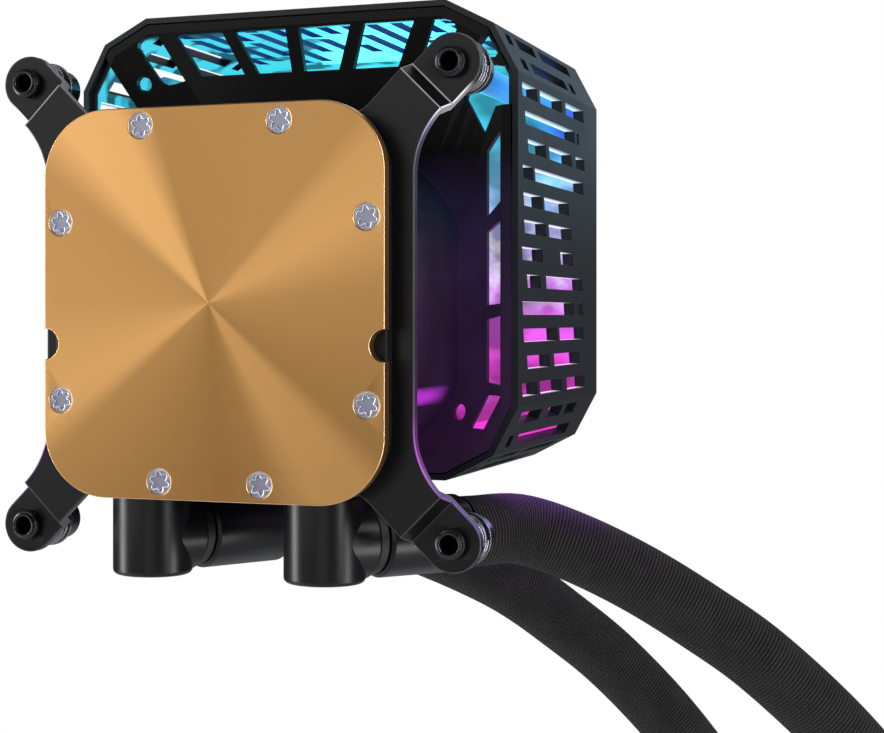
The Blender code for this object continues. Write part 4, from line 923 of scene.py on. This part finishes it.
def make_plate():
    """The copper plate with wide screw holes, and behind each a seat with a narrow hole."""
    wide = [ring_points(SCREW_HOLE_RADIUS, ROUND_STEPS, at) for at in PLATE_SCREWS]
    plate = rounded_solid("copper_plate", [plate_outline()] + wide, 0.0, PLATE_THICK, PLATE_ROUNDING, 3)
    # The plate's rounded edges carry a painted highlight in a lighter copper
    keep(mark_edges(plate), "cooler", COPPER, ("cold_plate",), [PLATE_EDGE_HIGHLIGHT])
    for number, at in enumerate(PLATE_SCREWS, 1):
        rim = ring_points(SCREW_HEAD_RADIUS + 2 * FIT, ROUND_STEPS, at)
        hole = ring_points(SCREW_SEAT_HOLE_RADIUS, ROUND_STEPS, at)
        seat = rounded_solid(
            f"screw_seat_{number}", [rim, hole], SCREW_SEAT_FRONT, SCREW_SEAT_BACK, SCREW_SEAT_ROUNDING, 1
        )
        keep(seat, "cooler", COPPER, ())


def star_points(centre):
    """A six-lobe outline: rounded points joined by rounded hollows."""
    points = []
    for i in range(STAR_STEPS):
        turn = 2 * math.pi * i / STAR_STEPS
        reach = (STAR_OUTER + STAR_INNER) / 2 + (STAR_OUTER - STAR_INNER) / 2 * math.cos(STAR_LOBES * turn)
        facing = turn + STAR_TURN
        points.append((centre[0] + reach * math.cos(facing), centre[1] + reach * math.sin(facing)))
    return points


def make_plate_screws():
    """Each screw's pierced head, and the shank with the floor of its recess."""
    shank = [
        (0, SCREW_TIP),
        (SCREW_SHANK_RADIUS, SCREW_TIP),
        (SCREW_SHANK_RADIUS, SCREW_BED_BACK),
        (SCREW_BED_RADIUS, SCREW_BED_BACK),
        (SCREW_BED_RADIUS, SCREW_BED_FRONT),
        (0, SCREW_BED_FRONT),
    ]
    for number, at in enumerate(PLATE_SCREWS, 1):
        head = [ring_points(SCREW_HEAD_RADIUS, ROUND_STEPS, at), star_points(at)]
        screw = rounded_solid(f"star_screw_{number}", head, SCREW_HEAD_FRONT, SCREW_HEAD_BACK, SCREW_ROUNDING)
        # The head's rounded edges and the walls of its recess carry a painted highlight in bright steel
        keep(mark_edges(screw, -1.0), "cooler", STEEL, (f"plate_screw_{number}",), [STEEL_HIGHLIGHT])
        bed = turned(f"star_screw_bed_{number}", shank, (at[0], 0, at[1]), ALONG_Y, SCREW_BED_STEPS, 0.0)
        keep(bed, "cooler", STEEL, ())


def make_rim():
    rim = rounded_box(-RIM_HALF_WIDTH, RIM_HALF_WIDTH, -RIM_HALF_HEIGHT, RIM_HALF_HEIGHT, RIM_CORNER)
    piece = rounded_solid("base_rim", [rim], RIM_FRONT, RIM_BACK, RIM_ROUNDING)
    keep(piece, "cooler", RIM_PLASTIC, ("base_housing",))


def bracket_outline():
    slant = EAR_RADIUS * math.sqrt(2)
    ear_edge = EAR_OFFSET + EAR_RADIUS / math.sqrt(2)
    bend = math.tan(math.radians(22.5))
    side_tangent = 0.48 * (ear_edge - BRACKET_HALF_WIDTH) * math.sqrt(2)
    side_fillet = side_tangent / bend
    side_centre = (BRACKET_HALF_WIDTH + side_fillet, BRACKET_HALF_WIDTH - slant - side_tangent)
    end_tangent = 0.16 * (ear_edge - BRACKET_HALF_HEIGHT) * math.sqrt(2)
    end_fillet = end_tangent / bend
    end_centre = (BRACKET_HALF_HEIGHT - slant - end_tangent, BRACKET_HALF_HEIGHT + end_fillet)
    quarter = arc_points(side_centre, side_fillet, 180, 135, ARC_STEPS)
    quarter += arc_points((EAR_OFFSET, EAR_OFFSET), EAR_RADIUS, -45, 135, 2 * ARC_STEPS)
    quarter += arc_points(end_centre, end_fillet, 315, 270, ARC_STEPS)
    upper = quarter + [(-u, w) for u, w in reversed(quarter)]
    return upper + [(u, -w) for u, w in reversed(upper)]


def fold_share(along, start):
    """How far the ear's step has gone, from 0 to 1."""
    return min(1.0, max(0.0, (along - start) / STEP_RUN))


def mark_bracket(bm):
    """Gives the outer edges the second material and the painted highlight lines along the folds the third."""
    for face in bm.faces:
        middle = face.calc_center_median()
        from_ear = math.hypot(abs(middle.x) - EAR_OFFSET, abs(middle.z) - EAR_OFFSET)
        past_core = max(abs(middle.x), abs(middle.z)) > CORE_HALF + BRACKET_EDGE_MARGIN
        past_hole = from_ear > EAR_HOLE_RADIUS + BRACKET_EDGE_MARGIN
        face.material_index = int(past_core and past_hole and abs(face.normal.y) < FLATTEST)
        along = (abs(middle.x) + abs(middle.z)) / math.sqrt(2) - STEP_START
        apart = min(abs(along + FOLD_LINE / 2), abs(along - STEP_RUN + FOLD_LINE / 2))
        if apart < FOLD_LINE / 2 and middle.y < BRACKET_FRONT + 0.1 * MM:
            face.material_index = 2


def make_bracket():
    """The flat cross, folded back at each ear."""
    ears = [(sx * EAR_OFFSET, sz * EAR_OFFSET) for sx in (-1, 1) for sz in (-1, 1)]
    holes = [ring_points(EAR_HOLE_RADIUS, ROUND_STEPS, ear) for ear in ears]
    half = CORE_HALF + FIT
    opening = rounded_box(-half, half, -half, half, CORE_CORNER)
    loops = [bracket_outline(), opening] + holes
    piece = rounded_solid("bracket", loops, BRACKET_FRONT, BRACKET_BACK, BRACKET_ROUNDING)
    bm = bmesh.new()
    bm.from_mesh(piece.data)
    thick = BRACKET_BACK - BRACKET_FRONT
    shift = thick * math.tan(math.atan2(EAR_STEP, STEP_RUN) / 2)
    for u, w in ears:
        diagonal = Vector((u, 0, w)).normalized()
        for line in (-shift, -FOLD_LINE, 0, STEP_RUN - shift, STEP_RUN - FOLD_LINE, STEP_RUN):
            geometry = bm.verts[:] + bm.edges[:] + bm.faces[:]
            fold = diagonal * (STEP_START + line)
            bmesh.ops.bisect_plane(bm, geom=geometry, dist=0.001 * MM, plane_co=fold, plane_no=diagonal)
    bm.normal_update()
    mark_bracket(bm)
    for vert in bm.verts:
        along = (abs(vert.co.x) + abs(vert.co.z)) / math.sqrt(2)
        depth = (vert.co.y - BRACKET_FRONT) / thick
        vert.co.y += EAR_STEP * fold_share(along, STEP_START - shift * depth)
    bm.normal_update()
    sharpen(bm, 30)
    bm.to_mesh(piece.data)
    bm.free()
    keep(piece, "cooler", BRACKET_PAINT, ("mounting_bracket",), [BRACKET_EDGE, BRACKET_FOLD_HIGHLIGHT])


def body_outline(foot):
    """The pump's round body, flat at its sides, top and foot, as in the part's source."""
    side = math.degrees(math.acos(BODY_HALF / BODY_RADIUS))
    low = math.degrees(math.asin(foot / BODY_RADIUS))
    spans = [(360 - low, 360 - side), (side, 90 - side), (90 + side, 180 - side), (180 + side, 180 + low)]
    return [point for start, end in spans for point in arc_points((0, 0), BODY_RADIUS, start, end, ARC_STEPS)]


def make_case():
    """The pump's black body, closed at its sides and open where the board is."""
    bay = ring_points(BOARD_BAY_RADIUS, ROUND_STEPS)
    loops = [body_outline(BODY_HALF), bay]
    body = rounded_solid("case_body", loops, CASE_FRONT, CASE_BACK, CASE_ROUNDING, 3)
    keep(body, "cooler", CASE_PLASTIC, ("pump_casing",))
    arch = body_outline(BOSS_LOW)
    opening = arc_points((0, 0), BOARD_BAY_RADIUS, 180 + BAY_LOW, -BAY_LOW, 3 * ARC_STEPS)
    neck_front = CASE_BACK - NECK_OVERLAP
    neck = rounded_solid("case_neck", [arch + opening], neck_front, BOSS_BACK, NECK_ROUNDING)
    keep(neck, "cooler", CASE_PLASTIC, ())
    block = rounded_box(-PORT_BLOCK_HALF, PORT_BLOCK_HALF, -CASE_HALF, 0, CASE_CORNER)
    ports = rounded_solid(
        "port_block", [block], PORT_BLOCK_FRONT, PORT_BLOCK_BACK, PORT_BLOCK_ROUNDING, 3
    )
    keep(ports, "cooler", CASE_PLASTIC, ())


def ring_profile(outer, inner, near, far):
    return [(outer, far), (outer, near), (inner, near), (inner, far)]


def make_spring_screw(number, x, z):
    """A captive screw with its hollow shank, plain round head, washer and spring."""
    at = (x, 0, z)
    tube = [
        (0, TUBE_BORE_END),
        (TUBE_BORE_RADIUS, TUBE_BORE_END),
        (TUBE_BORE_RADIUS, TUBE_FRONT + TUBE_CHAMFER),
        (TUBE_BORE_RADIUS + TUBE_CHAMFER, TUBE_FRONT),
        (TUBE_LIP_RADIUS, TUBE_FRONT),
        (TUBE_LIP_RADIUS, TUBE_LIP_END),
        (TUBE_RADIUS, TUBE_SHOULDER),
        (TUBE_RADIUS, TUBE_BACK),
        (SHANK_RADIUS, TUBE_BACK),
        (SHANK_RADIUS, KNOB_FRONT),
        (KNOB_CORE_RADIUS, KNOB_FRONT),
        (KNOB_CORE_RADIUS, KNOB_BACK),
        (0, KNOB_BACK),
    ]
    screw = turned(f"captive_screw_{number}", tube, at, ALONG_Y, ROUND_STEPS, TUBE_ROUNDING)
    keep(screw, f"thumb_screw_{number}", SCREW_BLACK, (f"thumb_screw_{number}",))
    knob = [
        (KNOB_RADIUS - 0.6 * MM, KNOB_FRONT),
        (KNOB_RADIUS, KNOB_FRONT + 0.4 * MM),
        (KNOB_RADIUS, KNOB_BACK - 0.5 * MM),
        (KNOB_CORE_RADIUS, KNOB_COLLAR_BACK),
        (KNOB_BORE_RADIUS, KNOB_COLLAR_BACK),
        (KNOB_BORE_RADIUS, KNOB_FRONT),
    ]
    collar = turned(f"knob_{number}", knob, at, ALONG_Y, ROUND_STEPS, KNOB_ROUNDING)
    keep(collar, f"thumb_screw_{number}", SCREW_BLACK, ())
    ring = ring_profile(WASHER_RADIUS, SHANK_RADIUS + FIT, WASHER_FRONT, WASHER_BACK)
    washer = turned(f"washer_{number}", ring, at, ALONG_Y, ROUND_STEPS, WASHER_ROUNDING)
    keep(washer, f"screw_washer_{number}", SPRING_STEEL, (f"screw_washer_{number}",))
    make_spring(number, x, z)


def make_spring(number, x, z):
    """A coil spring as one round wire."""
    curve = bpy.data.curves.new(f"coil_{number}", "CURVE")
    curve.dimensions = "3D"
    curve.bevel_depth = SPRING_WIRE
    curve.bevel_resolution = 4
    curve.use_fill_caps = True
    spline = curve.splines.new("POLY")
    count = SPRING_TURNS * SPRING_STEPS
    spline.points.add(count)
    low = SPRING_FRONT + SPRING_WIRE
    rise = SPRING_BACK - SPRING_FRONT - 2 * SPRING_WIRE
    for i, point in enumerate(spline.points):
        turn = 2 * math.pi * i / SPRING_STEPS
        across = SPRING_RADIUS * math.cos(turn)
        up = SPRING_RADIUS * math.sin(turn)
        point.co = (x + across, low + rise * i / count, z + up, 1)
    guide = bpy.data.objects.new(f"coil_guide_{number}", curve)
    bpy.context.scene.collection.objects.link(guide)
    mesh = bpy.data.meshes.new_from_object(guide.evaluated_get(bpy.context.evaluated_depsgraph_get()))
    bpy.data.objects.remove(guide, do_unlink=True)
    bm = bmesh.new()
    bm.from_mesh(mesh)
    coil = object_from(bm, f"coil_spring_{number}", 60)
    spring = keep(coil, "cooler", SPRING_STEEL, (f"screw_spring_{number}",))
    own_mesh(spring)


# Hose fittings
def make_fitting(side):
    """An elbow on its spigot, its stub with the barb, the collar and the ferrule."""
    middle = elbow_middle(side)
    toward = heading_of(side)
    body = f"{side}_hose"
    top = ELBOW_TOP - BARREL_Z
    foot = ELBOW_BOTTOM - BARREL_Z
    profile = [
        (0, top + SPIGOT_HEIGHT),
        (SPIGOT_RADIUS, top + SPIGOT_HEIGHT),
        (SPIGOT_RADIUS, top),
        (ELBOW_RADIUS - ELBOW_TOP_CHAMFER, top),
        (ELBOW_RADIUS, top - ELBOW_TOP_CHAMFER),
    ]
    edge = ELBOW_FOOT_ROUNDING
    for degrees in range(0, 91, 15):
        turn = math.radians(degrees)
        profile.append((ELBOW_RADIUS - edge + edge * math.cos(turn), foot + edge - edge * math.sin(turn)))
    profile.append((0, foot))
    post = turned(f"elbow_post_{side}", profile, middle, UP, FITTING_STEPS, 0.0)
    keep(post, body, FITTING_PAINT, (f"elbow_{side}",))
    barb = [
        (0, BARB_END),
        (BARB_RADIUS, BARB_END),
        (BARB_RADIUS, STUB_LENGTH),
        (BARREL_RADIUS, STUB_LENGTH),
        (BARREL_RADIUS, 0),
        (0, 0),
    ]
    stub = turned(f"elbow_stub_{side}", barb, middle, toward, FITTING_STEPS, STUB_ROUNDING)
    keep(stub, body, FITTING_PAINT, ())
    start = STUB_LENGTH + FIT
    ring = ring_profile(COLLAR_RADIUS, FERRULE_BORE_RADIUS, start, start + COLLAR_LENGTH)
    collar = turned(f"collar_{side}", ring, middle, toward, FITTING_STEPS, COLLAR_ROUNDING)
    keep(collar, body, RUBBER, (f"fitting_collar_{side}",))
    crimped = [
        (FERRULE_BORE_RADIUS, FERRULE_START),
        (FERRULE_BORE_RADIUS, FERRULE_END),
        (BARREL_RADIUS - FERRULE_EDGE, FERRULE_END),
        (BARREL_RADIUS - 0.3 * FERRULE_EDGE, FERRULE_END - 0.3 * FERRULE_EDGE),
        (BARREL_RADIUS, FERRULE_END - FERRULE_EDGE),
        (BARREL_RADIUS, FERRULE_START + 0.5 * FERRULE_EDGE),
        (BARREL_RADIUS - 0.5 * FERRULE_EDGE, FERRULE_START),
    ]
    ferrule = turned(f"ferrule_{side}", crimped, middle, toward, FITTING_STEPS, FERRULE_ROUNDING)
    keep(ferrule, body, FITTING_PAINT, (f"hose_ferrule_{side}",))


# Nodes that keep their shape
def dress_nodes():
    """Better materials for the nodes whose shape stays."""
    finishes = {
        "cage_shell": CAGE_PAINT,
        "front_cover": COVER_PAINT,
        "back_flange": FLANGE_PAINT,
        "light_guide": guide_glow(),
        "led_board": BOARD,
        "pump_board": BOARD,
        "plate_gasket": RUBBER,
        "port_seal_left": RUBBER,
        "port_seal_right": RUBBER,
        "impeller": CASE_PLASTIC,
        "rotor_magnet": MAGNET,
        "rotor_can": STEEL,
        "pump_shaft": CERAMIC,
        "stator_core": CORE_STEEL,
    }
    for i in range(1, 5):
        finishes[f"stator_coil_{i}"] = WINDING
    for side in HEADINGS:
        finishes[f"end_ferrule_{side}"] = FITTING_PAINT
        finishes[f"hose_union_{side}"] = FITTING_PAINT
    for name, material in finishes.items():
        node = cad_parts[name]
        node.data.materials.clear()
        node.data.materials.append(material)
    for name, width in (("cage_shell", 0.12 * MM), ("back_flange", 0.15 * MM), ("front_cover", 0.15 * MM)):
        soften(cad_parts[name], width, 30)


# Studio
def area_light(name, at, target, width, height, power, colour):
    data = bpy.data.lights.new(name, "AREA")
    data.shape = "RECTANGLE"
    data.size = width
    data.size_y = height
    data.energy = power
    data.color = colour
    light = bpy.data.objects.new(name, data)
    bpy.context.scene.collection.objects.link(light)
    light.location = at
    light.rotation_euler = (Vector(target) - Vector(at)).to_track_quat("-Z", "Y").to_euler()
    light.visible_camera = False


def make_world():
    """White for the camera and faint in reflections, with no light of its own on the part."""
    world = bpy.data.worlds.new("studio")
    bpy.context.scene.world = world
    world.use_nodes = True
    tree = world.node_tree
    background = tree.nodes["Background"]
    background.inputs["Color"].default_value = (*WHITE, 1.0)
    rays = tree.nodes.new("ShaderNodeLightPath")
    level = tree.nodes.new("ShaderNodeMath")
    level.operation = "MULTIPLY_ADD"
    level.inputs[1].default_value = WORLD_IN_REFLECTIONS
    tree.links.new(rays.outputs["Is Glossy Ray"], level.inputs[0])
    tree.links.new(rays.outputs["Is Camera Ray"], level.inputs[2])
    tree.links.new(level.outputs[0], background.inputs["Strength"])
    bpy.context.scene.view_settings.view_transform = "Standard"


def make_floor():
    mesh = bpy.data.meshes.new("floor")
    bm = bmesh.new()
    bmesh.ops.create_circle(bm, cap_ends=True, radius=FLOOR_RADIUS, segments=96)
    bm.to_mesh(mesh)
    bm.free()
    floor = bpy.data.objects.new("floor", mesh)
    floor.location = (0, 0, FLOOR_Z)
    bpy.context.scene.collection.objects.link(floor)
    paint = Nodes("floor_paint")
    paint.put("Base Color", (0.86, 0.86, 0.87))
    paint.put("Roughness", 0.8)
    mesh.materials.append(paint.material)


make_camera()
for side in HEADINGS:
    make_hose(side)
make_plate()
make_plate_screws()
make_rim()
make_bracket()
make_case()
for number, (sx, sz) in enumerate([(-1, 1), (1, 1), (-1, -1), (1, -1)], 1):
    make_spring_screw(number, sx * EAR_OFFSET, sz * EAR_OFFSET)
for side in HEADINGS:
    make_fitting(side)
dress_nodes()
make_world()
for lamp in LAMPS:
    area_light(*lamp)
make_floor()
